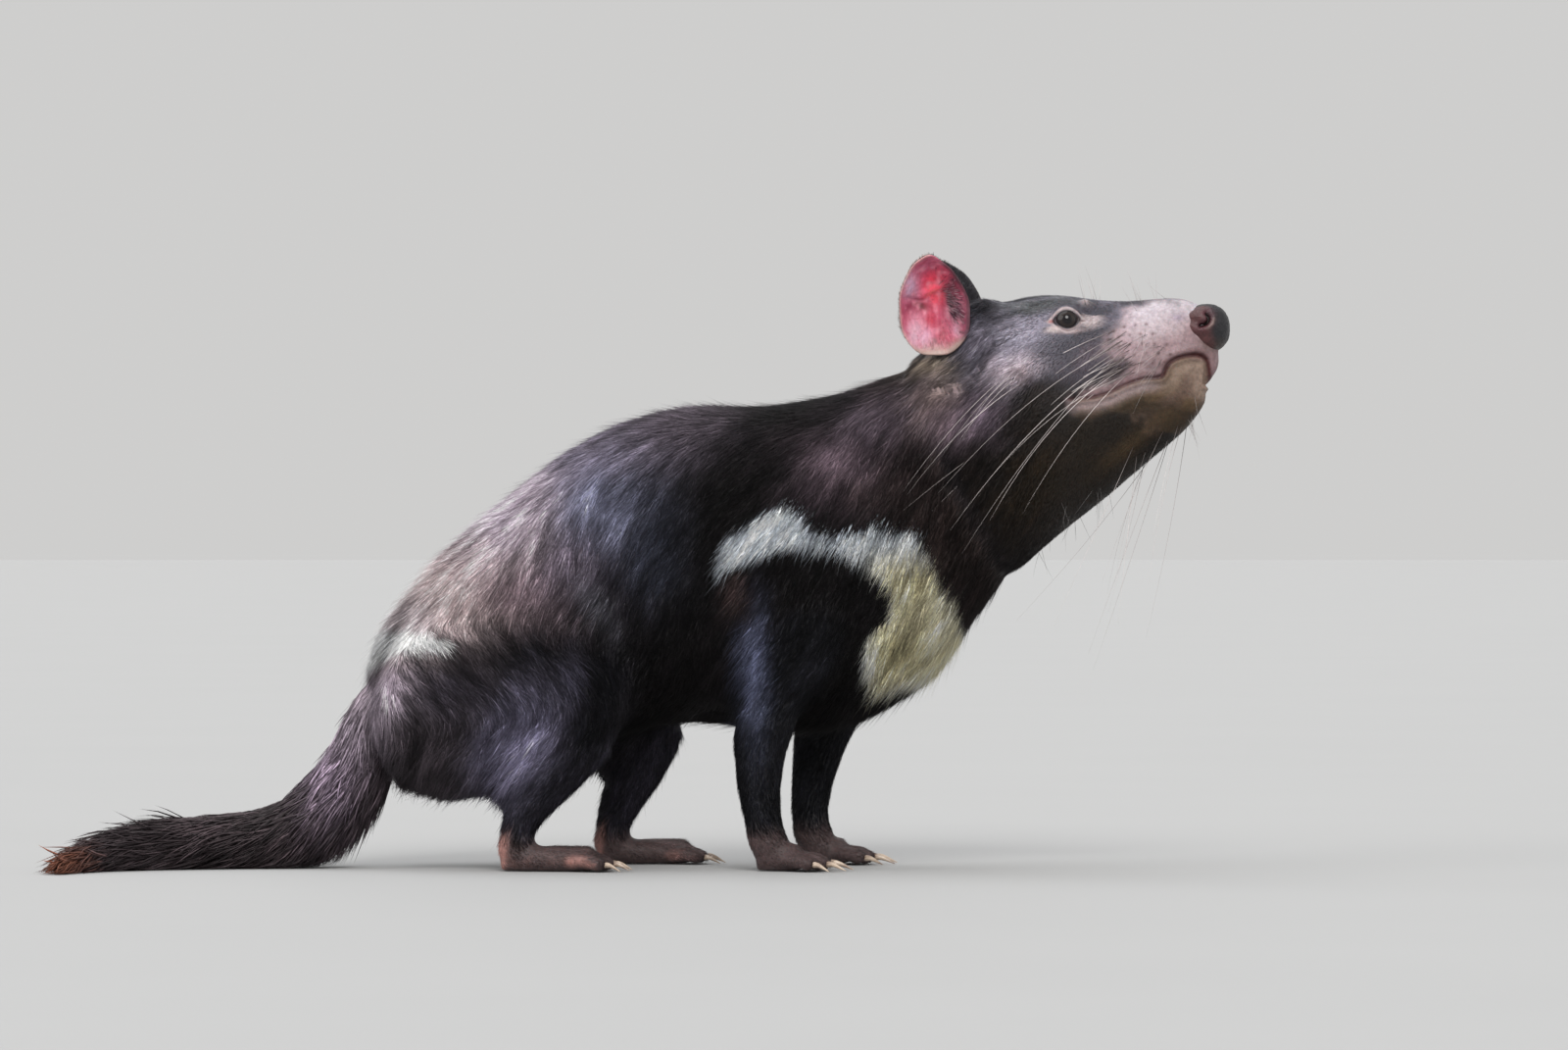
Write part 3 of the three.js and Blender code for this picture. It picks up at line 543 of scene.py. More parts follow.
def keep_largest(mesh):
    """Removes the closed scraps that the voxels leave inside."""
    with edited(mesh) as bm:
        bm.verts.ensure_lookup_table()
        seen = np.zeros(len(bm.verts), bool)
        islands = []
        for first in bm.verts:
            if seen[first.index]:
                continue
            island, stack = [], [first]
            seen[first.index] = True
            while stack:
                vertex = stack.pop()
                island.append(vertex)
                for edge in vertex.link_edges:
                    other = edge.other_vert(vertex)
                    if not seen[other.index]:
                        seen[other.index] = True
                        stack.append(other)
            islands.append(island)
        islands.sort(key=len)
        scraps = [v for island in islands[:-1] for v in island]
        bmesh.ops.delete(bm, geom=scraps, context="VERTS")


def refine(mesh, wanted):
    """Splits each edge whose two ends are wanted, given a test of straight places."""
    with edited(mesh) as bm:
        chosen = wanted(straightened(to_part(np.array([v.co[:] for v in bm.verts]))))
        edges = [e for e in bm.edges if chosen[e.verts[0].index] and chosen[e.verts[1].index]]
        bmesh.ops.subdivide_edges(bm, edges=edges, cuts=1, use_grid_fill=True, smooth=0.6)


def eye_centre(side):
    """Straight place of an eyeball's middle."""
    low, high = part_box(f"eye_{side}")
    return straightened(to_part(np.array((low + high) / 2)))


EYES = {name: eye_centre(name) for name in SIDES}


def region_weights(mesh, vertices, faces, regions, rounds):
    """How much each skin vertex belongs to each region, blended over their borders."""
    tree = BVHTree.FromPolygons(vertices.tolist(), faces)
    weights = np.zeros((len(mesh.vertices), len(REGIONS)))
    for i, place in enumerate(coordinates(mesh)):
        face = tree.find_nearest(place)[2]
        weights[i, regions[face]] = 1
    return Surface(mesh).smoothed(weights, rounds)


def near_an_eye(straight):
    away = np.min([np.linalg.norm(straight - centre, axis=1) for centre in EYES.values()], axis=0)
    return away < EYE_FINE_REACH


def near_the_mouth(straight):
    away = away_from(MOUTH_LINE, straight, MOUTH_STEPS)
    return (away < MOUTH_FINE_REACH) & (straight[:, 0] > MOUTH_FINE_X)


def make_skin():
    """One skin over the flesh, softened by region, with its creases filled and the face made finer."""
    vertices, faces, regions = joined(flesh_parts())
    skin = new_object("skin", vertices, faces)
    remeshed(skin, VOXEL)
    keep_largest(skin.data)
    weights = region_weights(skin.data, vertices, faces, regions, REGION_ROUNDS[0])
    rounds = weights @ np.array([SOFTENING[r] for r in REGIONS])
    surface = Surface(skin.data)
    co = coordinates(skin.data)
    for i in range(max(SOFTENING.values())):
        share = np.clip(rounds - i, 0, 1)[:, None] * SMOOTHING_STEP
        co = co + share * (surface.mean(co) - co)
        if i % 2:
            co = co - SWELL_BACK * share * (surface.mean(co) - co)
    limb = surface.smoothed(weights[:, [REGION_INDEX[r] for r in LIMB_ROOTS]].sum(1), LIMB_ROUNDS)
    crease = np.clip(4 * limb * (1 - limb) * CREASE_FILL - CREASE_START, 0, 1)[:, None]
    for _ in range(CREASE_ROUNDS):
        co = co + SMOOTHING_STEP * crease * (surface.mean(co) - co)
    set_coordinates(skin.data, co)
    refine(skin.data, lambda s: (s[:, 0] > HEAD_FINE_X) & (s[:, 2] > HEAD_FINE_Z))
    refine(skin.data, near_an_eye)
    refine(skin.data, near_the_mouth)
    return skin, (vertices, faces, regions)


# Face, in straight coordinates

# Lids: height over the eyeball at shares of the way out from the eye's middle, and the fold round them
LID_SHARES = [0, 0.90, 1.0, 1.12, 1.45, 2.0]
LID_HEIGHTS = [-1.7, -1.7, 0.5, 1.3, 1.25, 0.9]
LID_REACH = (1.35, 2.1)
LID_FOLD = 1.75
LID_FOLD_WIDTH = 0.16
LID_FOLD_DEPTH = 0.7
# Bumps that carry whiskers: [middle, size, height]
BROW_BUMP = (231.1, 13.6, 322.2)
CHEEK_BUMP = (198.7, 46.0, 281.6)
FACE_BUMPS = [(BROW_BUMP, 3.6, 3.0), (CHEEK_BUMP, 4.5, 1.6)]
LIP_GROOVE_DEPTH = 2.3
LIP_GROOVE_WIDTH = 1.0
# Swellings along the lips: [height over the mouth line, width, how far they stand out]
LIP_FORMS = [(3.2, 2.2, 0.9), (-2.6, 1.5, 0.75)]
UNDER_LIP_DEPTH = 0.6
MOUTH_END_TUCK = 2.6
CHIN_PLEATS = 0.05
FOLLICLE_OUT = 17
FOLLICLE_ROWS = [
    [(1138, 338), (1148, 334), (1159, 332), (1170, 331)],
    [(1133, 347), (1143, 344), (1154, 342), (1165, 341), (1177, 341)],
    [(1133, 357), (1144, 354), (1155, 352), (1167, 351), (1179, 351), (1191, 352)],
    [(1137, 366), (1148, 364), (1159, 362), (1171, 361), (1183, 361), (1195, 362)],
    [(1144, 375), (1155, 373), (1166, 371), (1178, 371), (1189, 370)],
]


def photo_pixel(turned_points):
    """Photo pixel at which a place of the turned animal shows."""
    flat = PHOTO_ORIGIN + turned_points[:, [0, 2]] * (1, -1) / PHOTO_SCALE
    nearer = CAMERA_DISTANCE / (CAMERA_DISTANCE + turned_points[:, 1])
    return PHOTO_MIDDLE + (flat - PHOTO_MIDDLE) * nearer[:, None]


def near_side(straight):
    """The same places, or their mirror places on the near side, turned with the head."""
    mirrored = straight.copy()
    mirrored[:, 1] = -np.abs(mirrored[:, 1])
    return turned(mirrored)


def straight_xz(pixel, out):
    """Straight x and z of a photo pixel on the near side, out millimetres from the middle plane."""
    place = np.array([[0.0, -out, 0.0]])
    for _ in range(8):
        miss = (np.array(pixel) - photo_pixel(turned(place))[0]) * PHOTO_SCALE
        place += (miss[0], 0, -miss[1])
    return place[0, 0], place[0, 2]


FOLLICLES = [straight_xz(pixel, FOLLICLE_OUT) for row in FOLLICLE_ROWS for pixel in row]


def eye_axes(side):
    """Outward, forward and upward directions of an eye."""
    outward = unit(mirrored(EYE_OUTWARD, side))
    forward = np.array([1, 0, EYE_SLANT])
    forward = unit(forward - outward * forward.dot(outward))
    up = np.cross(outward, forward) * side
    return outward, forward, up if up[2] > 0 else -up


def eye_share(straight, name):
    """0 at the middle of the eye's opening and 1 at its edge, with the reach outward, forward and up."""
    outward, forward, up = eye_axes(SIDES[name])
    local = straight - EYES[name]
    a, b, out = local @ forward, local @ up, local @ outward
    half_long, half_high = EYE_OPENING[0] / 2, EYE_OPENING[1] / 2
    corner = half_high * (1 - EYE_TAPER * np.clip(np.abs(a) / half_long, 0, 1.3) ** 2)
    q = np.sqrt((a / half_long) ** 2 + (b / corner) ** 2)
    return q, out, a, b


def above_mouth(straight):
    """Height above the mouth line, seen from the side."""
    places, tangents, _ = polyline(MOUTH_LINE, MOUTH_STEPS)
    index, away = nearest_on(places, straight[:, [0, 2]])
    offset = straight[:, [0, 2]] - places[index]
    across = tangents[index, 0] * offset[:, 1] - tangents[index, 1] * offset[:, 0]
    return np.where(across < 0, -away, away)


def sculpt_face(straight, outward):
    """Moves the head's skin to make the lids, brows, lips, chin and follicles."""
    co = straight.copy()
    for name, side in SIDES.items():
        q, out, _, b = eye_share(straight, name)
        centre = EYES[name]
        radius = np.linalg.norm(straight - centre, axis=1)
        target = np.interp(q, LID_SHARES, EYE_RADIUS + np.array(LID_HEIGHTS))
        blend = (1 - smooth(*LID_REACH, q)) * (out > 0)
        place = centre + (straight - centre) / np.maximum(radius, 1e-6)[:, None] * target[:, None]
        co += (place - straight) * blend[:, None]
        fold = bell(q, LID_FOLD_WIDTH, LID_FOLD) * (b > -1) * (out > 0)
        co -= outward * (LID_FOLD_DEPTH * fold)[:, None]
        for bump, size, height in FACE_BUMPS:
            away = np.linalg.norm(straight - mirrored(bump, side), axis=1)
            co += outward * (height * bell(away, size))[:, None]
    x, z = straight[:, 0], straight[:, 2]
    above = above_mouth(straight)
    on_face = smooth(217, 227, x)
    groove = bell(above, LIP_GROOVE_WIDTH) * LIP_GROOVE_DEPTH * (0.6 + 0.4 * smooth(266, 276, x))
    upper, lower = (bell(above, width, height) * stand for height, width, stand in LIP_FORMS)
    below = smooth(-1, -4, above) * (1 - smooth(-5, -11, above)) * UNDER_LIP_DEPTH
    co += outward * (on_face * (upper + lower - groove - below))[:, None]
    co[:, 0] -= MOUTH_END_TUCK * (smooth(293, 301, x) * bell(z, 8, 277))
    wrinkle = np.sin(above * 1.7 + value_noise(straight, 9, 4) * 2.2)
    pleats = (above < -6) * (above > -26) * smooth(224, 240, x) * CHIN_PLEATS
    co += outward * (wrinkle * pleats)[:, None]
    for dot in FOLLICLES:
        away = np.hypot(x - dot[0], z - dot[1])
        co -= outward * (0.45 * bell(away, 0.8) - 0.25 * bell(away, 2.2))[:, None]
    return co


# Fields of the coat, at every vertex of the skin

# For each region: length of the tufts, their width, lift in degrees, tufts for each square centimetre,
# and the depth that the coat takes of the flesh
COAT = {
    "torso": (13, 0.90, 11, 84, 4.0),
    "neck": (13, 0.88, 12, 88, 4.0),
    "head": (5.5, 0.50, 12, 190, 1.2),
    "jaw": (5.0, 0.48, 13, 150, 1.1),
    "upper_foreleg": (10, 0.78, 11, 100, 3.0),
    "lower_foreleg": (7, 0.62, 11, 140, 1.7),
    "forepaw": (3.6, 0.46, 12, 140, 0.7),
    "thigh": (12, 0.88, 12, 90, 3.6),
    "shank": (8, 0.68, 12, 120, 2.0),
    "hindpaw": (3.6, 0.46, 12, 140, 0.7),
    "tail": (32, 1.15, 14, 58, 0.0),
    "ear_root": (5, 0.52, 9, 160, 0.8),
}
COAT_TABLE = np.array([COAT[r] for r in REGIONS])

# Outlines of the markings and the bare muzzle, in photo pixels of the near side
CHEST_BAND = [
    (733, 574), (750, 544), (796, 522), (815, 527), (834, 545), (866, 547), (898, 543), (932, 545), (950, 574),
    (969, 611), (985, 640), (1008, 652), (995, 692), (960, 688), (925, 698), (892, 703), (882, 662), (905, 628),
    (910, 600), (886, 579), (856, 564), (822, 558), (794, 559), (770, 570), (739, 585),
]
RUMP_STRIPE = [(338, 704), (354, 640), (388, 638), (418, 646), (456, 656), (450, 667), (402, 667), (384, 680),
               (366, 700)]
MUZZLE = [(1290, 280), (1222, 292), (1180, 303), (1152, 318), (1134, 340), (1132, 358), (1150, 374), (1130, 390),
          (1098, 404), (1092, 415), (1108, 422), (1150, 420), (1180, 434), (1215, 446), (1240, 446), (1290, 420)]


def inside(outline, places):
    """Signed distance into a closed outline."""
    poly = closed_curve(outline)
    a, b = poly, np.roll(poly, -1, 0)
    best = np.full(len(places), 1e9)
    odd = np.zeros(len(places), bool)
    for p, q in zip(a, b):
        edge = q - p
        t = np.clip(((places - p) @ edge) / max(edge @ edge, 1e-9), 0, 1)
        best = np.minimum(best, np.linalg.norm(places - p - t[:, None] * edge, axis=1))
        crosses = (p[1] > places[:, 1]) != (q[1] > places[:, 1])
        slope = edge[0] / (edge[1] if abs(edge[1]) > 1e-9 else 1e-9)
        odd ^= crosses & (places[:, 0] < p[0] + slope * (places[:, 1] - p[1]))
    return np.where(odd, best, -best)


def over(base, colour, share):
    """Lays a colour over others by its share."""
    return base + (np.asarray(colour) - base) * np.clip(share, 0, 1)[:, None]


def blob(a, b, place, size, turn):
    """1 at a place and falling away round it, over a turned oval of the given half sizes."""
    angle = math.radians(turn)
    x, y = a - place[0], b - place[1]
    u = x * math.cos(angle) + y * math.sin(angle)
    v = -x * math.sin(angle) + y * math.cos(angle)
    return np.exp(-((u / size[0]) ** 2) - (v / size[1]) ** 2)


# Colours of the coat and the skin, linear

STRIPE_WHITE = (0.95, 0.96, 0.99)
NECK_BROWN = (0.026, 0.0175, 0.0170)
THIGH_BROWN = (0.030, 0.026, 0.033)
HEEL_PINK = (0.33, 0.17, 0.15)
TAIL_BROWN = (0.034, 0.025, 0.028)
TAIL_TIP = (0.20, 0.075, 0.045)
HEAD_GREY = (0.062, 0.058, 0.074)
EAR_ROOT_BLACK = (0.010, 0.008, 0.011)
CHEEK_BROWN = (0.0100, 0.0066, 0.0046)
CHIN_BROWN_AND_SHADE = (0.0150, 0.0085, 0.0035)
CHIN_PALE = (0.230, 0.165, 0.130)
SNOUT_PALE_AND_TOP_LIGHT = (0.43, 0.405, 0.445)
LID_EDGE = (0.014, 0.009, 0.011)
BROW_DARK = (0.030, 0.022, 0.030)
CHEEK_PALE = (0.28, 0.20, 0.21)
LIP_PALE = (0.27, 0.205, 0.205)
MOUTH_RED_AND_LIP_SHADE = (0.055, 0.014, 0.014)
FOLLICLE_DARK = (0.09, 0.045, 0.045)
# Soft patches on the coat, in photo pixels of the near side: [middle, size, turn in degrees, colour, share]; the
# light ones on the rump, back, flank, legs, neck and temple are painted sheen highlights, the near-black ones
# low between the legs and before the shoulder are painted shade, and the tan ones under the ear and the pale
# cheek patch are the coat's own colours
COAT_MARKINGS_AND_PAINTED_LIGHT = [
    ((628, 464), (64, 28), -12, (0.290, 0.250, 0.330), 0.90),
    ((690, 440), (50, 24), -5, (0.150, 0.120, 0.150), 0.7),
    ((452, 588), (78, 48), -40, (0.900, 0.720, 0.725), 0.96),
    ((408, 634), (34, 28), -45, (0.920, 0.800, 0.850), 0.92),
    ((392, 706), (22, 26), 0, (0.480, 0.400, 0.480), 0.75),
    ((536, 608), (56, 26), 15, (0.330, 0.240, 0.270), 0.75),
    ((510, 524), (58, 40), -38, (0.760, 0.640, 0.760), 0.92),
    ((618, 520), (44, 46), 0, (0.340, 0.350, 0.500), 0.80),
    ((585, 584), (42, 40), 0, (0.190, 0.155, 0.200), 0.7),
    ((660, 560), (34, 50), 0, (0.044, 0.050, 0.075), 0.6),
    ((610, 618), (24, 12), 55, (0.420, 0.420, 0.500), 0.6),
    ((545, 664), (46, 16), -6, (0.0050, 0.0045, 0.0055), 0.95),
    ((372, 745), (26, 30), 20, (0.270, 0.225, 0.270), 0.7),
    ((455, 700), (40, 30), 0, (0.050, 0.044, 0.062), 0.6),
    ((530, 754), (30, 48), 18, (0.360, 0.335, 0.500), 0.85),
    ((580, 692), (14, 26), 12, (0.110, 0.102, 0.155), 0.6),
    ((598, 748), (20, 26), 0, (0.0100, 0.0100, 0.0150), 0.8),
    ((618, 702), (30, 62), 0, (0.0070, 0.0070, 0.0100), 0.92),
    ((770, 682), (13, 58), 0, (0.150, 0.165, 0.265), 0.9),
    ((752, 600), (12, 26), 0, (0.075, 0.048, 0.046), 0.7),
    ((848, 476), (42, 30), 0, (0.260, 0.185, 0.230), 0.78),
    ((900, 430), (50, 24), -20, (0.170, 0.130, 0.165), 0.7),
    ((890, 500), (30, 20), 0, (0.070, 0.048, 0.048), 0.6),
    ((800, 484), (30, 22), 0, (0.0035, 0.0033, 0.0035), 0.95),
    ((345, 790), (24, 36), 25, (0.240, 0.185, 0.250), 0.7),
    ((1062, 492), (80, 42), -40, (0.016, 0.0090, 0.0030), 0.8),
    ((952, 412), (20, 22), 10, (0.760, 0.560, 0.580), 0.85),
    ((972, 432), (24, 20), 10, (0.280, 0.205, 0.250), 0.6),
    ((1000, 420), (22, 26), 25, (0.220, 0.165, 0.215), 0.7),
    ((950, 376), (21, 12), 0, (0.420, 0.330, 0.240), 0.85),
    ((1020, 352), (46, 36), -25, (0.200, 0.185, 0.235), 0.7),
    ((1034, 338), (34, 17), -20, (0.480, 0.440, 0.540), 0.85),
    ((1030, 380), (26, 14), -12, (0.680, 0.570, 0.650), 0.9),
    ((1062, 436), (30, 22), -30, (0.0100, 0.0066, 0.0046), 0.85),
    ((1062, 402), (20, 9), -24, (0.0180, 0.0125, 0.0110), 0.75),
    ((1052, 309), (48, 8), -4, (0.092, 0.098, 0.098), 0.7),
    ((1004, 314), (14, 20), -20, (0.010, 0.008, 0.012), 0.95),
    ((1142, 320), (22, 9), -15, (0.240, 0.215, 0.270), 0.6),
    ((1112, 366), (28, 14), -20, (0.130, 0.100, 0.125), 0.6),
    ((960, 402), (20, 10), -10, (0.150, 0.115, 0.085), 0.75),
]
# The same on the muzzle; the two brown patches beside and under the nose pad are painted shadow
MUZZLE_MARKS_AND_SHADOW = [
    ((1137, 379), (12, 8), -20, (0.050, 0.030, 0.035), 0.75),
    ((1150, 456), (34, 10), -38, (0.060, 0.036, 0.016), 0.7),
    ((1190, 425), (22, 9), -30, (0.050, 0.030, 0.014), 0.5),
    ((1236, 347), (13, 12), 0, (0.050, 0.030, 0.021), 0.9),
    ((1214, 338), (8, 13), 0, (0.180, 0.105, 0.115), 0.6),
    ((1222, 361), (14, 6), 8, (0.120, 0.068, 0.070), 0.8),
    ((1180, 372), (14, 7), -15, (0.170, 0.110, 0.118), 0.6),
    ((1201, 323), (7, 4), 0, (0.230, 0.180, 0.240), 0.7),
    ((1190, 352), (20, 9), -10, (0.230, 0.155, 0.165), 0.5),
]
# Colours round the eye: [place forward and up of its middle, size, colour, share]
EYE_TINTS = [
    ((13.8, -1.2), (7.2, 4.6), (0.52, 0.43, 0.44), 0.9),
    ((-7.6, -5.0), (5.0, 2.0), (0.60, 0.50, 0.49), 0.85),
    ((2.0, -6.6), (8.0, 1.6), (0.46, 0.36, 0.37), 0.7),
    ((9.6, 5.8), (4.2, 1.6), (0.055, 0.038, 0.045), 0.8),
    ((9.3, -1.0), (1.6, 0.6), (0.10, 0.06, 0.065), 0.8),
    ((-8.6, 0.0), (1.7, 1.2), (0.34, 0.14, 0.14), 0.9),
]
# Dark spots round the brow's bump: [place from it, size]
BROW_MOLES = [((4.6, 1.0, 0.3), 2.4), ((-3.8, 3.5, -2.2), 1.7), ((0.4, 4.5, -3.6), 1.8)]
DARKEST = 0.002

# The lie of the coat: how it leans on the legs, and its direction on the paws
LEG_REGIONS = {"foreleg": ("upper_foreleg", "lower_foreleg"), "hindleg": ("thigh", "shank")}
LEG_LEAN = (-0.22, 0, -0.1)
PAW_LIE = (0.9, 0, -0.5)
LIE_ROUNDS = 50
# No fur grows within this ellipsoid round the nose pad: [middle, half sizes]
BARE_NOSE = ((300.8, 0, 308.3), (15, 15.5, 15))


class Fields:
    """Everything that the coat and the skin's colours need at each vertex of the skin."""

    def __init__(self, mesh, weights):
        self.co = to_part(coordinates(mesh))
        self.straight = straightened(self.co)
        self.normal = normals_of(mesh)
        self.weights = weights
        self.pixel = photo_pixel(near_side(self.straight))
        self.noise_wide = value_noise(self.co, 32, 1)
        self.noise_mid = value_noise(self.co, 11, 2)
        self.noise_fine = value_noise(self.co, 4.2, 3)
        self.bare = inside(MUZZLE, self.pixel)
        self.above_mouth = above_mouth(self.straight)
        self.settle_lie(mesh)
        self.settle_coat()
        self.settle_colours()

    def share(self, *regions):
        return sum(self.weights[:, REGION_INDEX[r]] for r in regions)

    def settle_lie(self, mesh):
        """The lie of the coat, and each place on the unwrap of the skin."""
        s, n = self.straight, self.normal
        turn = head_swing(s)
        lie = self.trunk_lie(swung(n, -turn))
        self.add_leg_lies(lie)
        self.add_tail_lie(lie)
        lie = Surface(mesh).smoothed(unit(swung(lie, turn)), LIE_ROUNDS)
        lie = laid_flat(lie, n)
        swirl = np.radians(13) * self.noise_wide + np.radians(9) * self.noise_mid
        swirl = swirl * (1 - 0.6 * self.share("head", "jaw"))
        self.lie = veered(lie, n, swirl)

    def trunk_lie(self, normal):
        """Back along the spine, and steeper down the sides."""
        s = self.straight
        places, tangents, lengths = polyline(SPINE, 10)
        index, _ = nearest_on(places, s[:, [0, 2]])
        spine = np.zeros((len(s), 3))
        spine[:, [0, 2]] = -tangents[index]
        behind, above = (s[:, [0, 2]] - places[index]).T
        height = above * tangents[index, 0] - behind * tangents[index, 1]
        round_spine = np.arctan2(s[:, 1], height) / (2 * np.pi) + 0.5
        self.uv = np.stack([round_spine, lengths[index] / lengths[-1]], axis=1)
        steep = np.radians(58) * self.share("torso") + np.radians(42) * self.share("neck")
        steep = steep + np.radians(22) * self.share("head", "jaw")
        steep = steep * smooth(0.15, 0.8, np.abs(normal[:, 1])) * (1 - 0.75 * smooth(238, 262, s[:, 0]))
        down = np.array([0.0, 0.0, -1.0])
        trunk = spine * np.cos(steep)[:, None] + down * np.sin(steep)[:, None]
        return trunk * self.share("torso", "neck", "head", "jaw", "ear_root")[:, None]

    def add_leg_lies(self, lie):
        """Down each leg and forward over the paws."""
        s = self.straight
        for leg, regions in LEG_REGIONS.items():
            weight = self.share(*regions)
            for name, sign in SIDES.items():
                mine = (np.sign(s[:, 1]) == sign) & (weight > 0.02)
                axis = [(x, sign * y, z) for x, y, z in LEG_AXES[f"{leg}_{name}"]]
                spots, along, far = polyline(axis, 10)
                near, _ = nearest_on(spots, s[mine])
                lie[mine] += (along[near] + LEG_LEAN) * weight[mine][:, None]
                chosen = np.zeros(len(s), bool)
                chosen[mine] = weight[mine] > 0.5
                near, _ = nearest_on(spots, s[chosen])
                local = s[chosen] - spots[near]
                angle = np.arctan2(local[:, 1], local[:, 0]) / (2 * np.pi) + 0.5
                self.uv[chosen, 0] = angle * 0.48 + (0.5 if sign > 0 else 0.0)
                self.uv[chosen, 1] = far[near] / far[-1] * 0.7
        lie += self.share("forepaw", "hindpaw")[:, None] * PAW_LIE
        for paw in ("forepaw", "hindpaw"):
            chosen = self.share(paw) > 0.5
            self.uv[chosen, 0] = (s[chosen, 0] + 140) / 300 * 0.48 + (s[chosen, 1] > 0) * 0.5
            self.uv[chosen, 1] = 0.72 + (s[chosen, 2] + np.abs(s[chosen, 1]) * 0.6) / 90 * 0.25

    def add_tail_lie(self, lie):
        """Along the tail to its tip."""
        s = self.straight
        spots, along, far, _ = tail_curve()
        tail = self.share("tail")
        mine = tail > 0.02
        near, _ = nearest_on(spots, s[mine])
        lie[mine] += along[near] * tail[mine][:, None] * 1.6
        chosen = tail > 0.5
        near, _ = nearest_on(spots, s[chosen])
        level = unit(np.cross(along[near], [0, 0, 1.0]))
        upward = np.cross(level, along[near])
        local = s[chosen] - spots[near]
        angle = np.arctan2((local * level).sum(1), (local * upward).sum(1))
        self.uv[chosen] = np.stack([angle / (2 * np.pi) + 0.5, far[near] / far[-1]], axis=1)
        self.tail_share = np.zeros(len(s))
        self.tail_share[chosen] = far[near] / far[-1]

    def settle_coat(self):
        """Length, width, lift and density of the tufts."""
        self.length, self.width, self.lift, self.density = (self.weights @ COAT_TABLE).T[:4]
        s = self.straight
        head = self.share("head", "jaw")
        frayed = self.bare + 7 * self.noise_fine + 5 * self.noise_mid
        self.muzzle = smooth(-11, 12, frayed) * smooth(0.3, 0.6, head)
        front = smooth(196, 226, s[:, 0]) * head
        self.length = self.length * (1 + 0.7 * head * (1 - smooth(150, 205, s[:, 0])))
        self.length = self.length * (1 - 0.35 * front) * (1 - 0.55 * self.muzzle)
        self.width = self.width * (1 - 0.30 * front) * (1 - 0.45 * self.muzzle)
        self.density = self.density * (1 - 0.55 * self.muzzle)
        self.lift = self.lift * (1 - 0.3 * self.muzzle)
        for name, side in SIDES.items():
            q, out, _, _ = eye_share(s, name)
            close = (out > 0) * (1 - smooth(1.3, 2.3, q))
            self.density = self.density * (1 - (out > 0) * (q < 1.32))
            brow = np.linalg.norm(s - mirrored(BROW_BUMP, side), axis=1)
            self.density = self.density * smooth(2.2, 4.2, brow)
            self.length = self.length * (1 - 0.6 * close)
            self.width = self.width * (1 - 0.3 * close)
        self.clear_bare_places(head)
        under = smooth(0.2, 0.75, -self.normal[:, 2])
        self.length = self.length * (1 + 0.25 * under * self.share("neck", "torso"))
        self.length = self.length * (1 + 0.12 * self.noise_mid)
        tail = self.share("tail")
        tip = smooth(0.75, 1.0, self.tail_share) * tail
        root = (1 - smooth(0.05, 0.32, self.tail_share)) * (tail > 0.5)
        self.length = self.length * (1 - 0.42 * root) * (1 - 0.12 * tip)
        self.lift = self.lift * (1 - 0.35 * root) + 5 * under * tail

    def clear_bare_places(self, head):
        """No tufts on the lips, round the nose pad and under the soles, and few on the heels."""
        lips = (np.abs(self.above_mouth + 0.6) < 2.4) & (self.straight[:, 0] > 223) & (head > 0.4)
        self.density[lips] = 0
        nose_away = np.linalg.norm((self.straight - BARE_NOSE[0]) / BARE_NOSE[1], axis=1)
        self.density[nose_away < 1.0] = 0
        soles = (self.co[:, 2] < 3) & (self.share("forepaw", "hindpaw") > 0.4)
        self.density[soles] = 0
        heel = (self.share("hindpaw", "shank") > 0.5) & (self.normal[:, 0] < -0.35) & (self.co[:, 2] < 26)
        self.density[heel] *= 0.35

    def settle_colours(self):
        """Colours of the coat, from its ground to the markings, with painted sheen highlights and painted shade
        among them.
        """
        self.colour = np.tile(np.array(BLACK_BROWN), (len(self.co), 1))
        laid = self.straight + self.lie * (0.45 * self.length)[:, None]
        self.laid_pixel = photo_pixel(near_side(laid))
        self.ragged = 5.0 * self.noise_mid + 3.0 * self.noise_fine
        self.paint_body()
        self.paint_muzzle()
        self.paint_eyes()
        self.paint_mouth()
        self.paint_markings()
        streak = 1 + 0.14 * self.noise_mid + 0.10 * self.noise_fine + 0.10 * self.noise_wide
        streak = lerp(streak, 1, 0.25 * self.muzzle)
        self.colour = np.clip(self.colour * streak[:, None], DARKEST, 1)

    def paint(self, tint, share):
        self.colour = over(self.colour, tint, share)

    def paint_body(self):
        s, wide, share = self.straight, self.noise_wide, self.share
        rump = smooth(-40, -110, s[:, 0] + 0.35 * (170 - s[:, 2])) * share("torso", "thigh", "tail")
        self.paint(RED_BROWN, rump * (0.45 + 0.2 * wide))
        self.paint(NECK_BROWN, share("neck") * (0.85 + 0.3 * wide))
        self.paint(BLUE_BLACK, share("upper_foreleg", "lower_foreleg"))
        self.paint(THIGH_BROWN, share("thigh") * 0.8)
        self.paint(GREY_VIOLET, share("shank") * 0.75)
        self.paint(PAW_SKIN, share("forepaw", "hindpaw") * 0.5)
        self.paint(HEEL_PINK, share("hindpaw", "shank") * smooth(0.1, 0.6, -self.normal[:, 0])
                   * (1 - smooth(14, 30, s[:, 2])))
        self.paint(TAIL_BROWN, share("tail"))
        self.paint(TAIL_TIP, share("tail") * smooth(0.80, 1.0, self.tail_share) * 0.9)
        self.paint(HEAD_GREY, share("head", "ear_root"))
        self.paint(CHEEK_BROWN, smooth(283, 268, s[:, 2]) * share("head", "jaw") * 0.9)
        self.paint(CHEEK_BROWN, share("jaw"))
        x, y = self.laid_pixel[:, 0] + self.ragged, self.laid_pixel[:, 1] + 1.4 * self.ragged
        # Markings, painted sheen highlights and painted shade, from the table of patches
        for middle, size, turn, tint, strength in COAT_MARKINGS_AND_PAINTED_LIGHT:
            self.paint(tint, strength * blob(x, y, middle, size, turn) * (1 + 0.35 * wide))

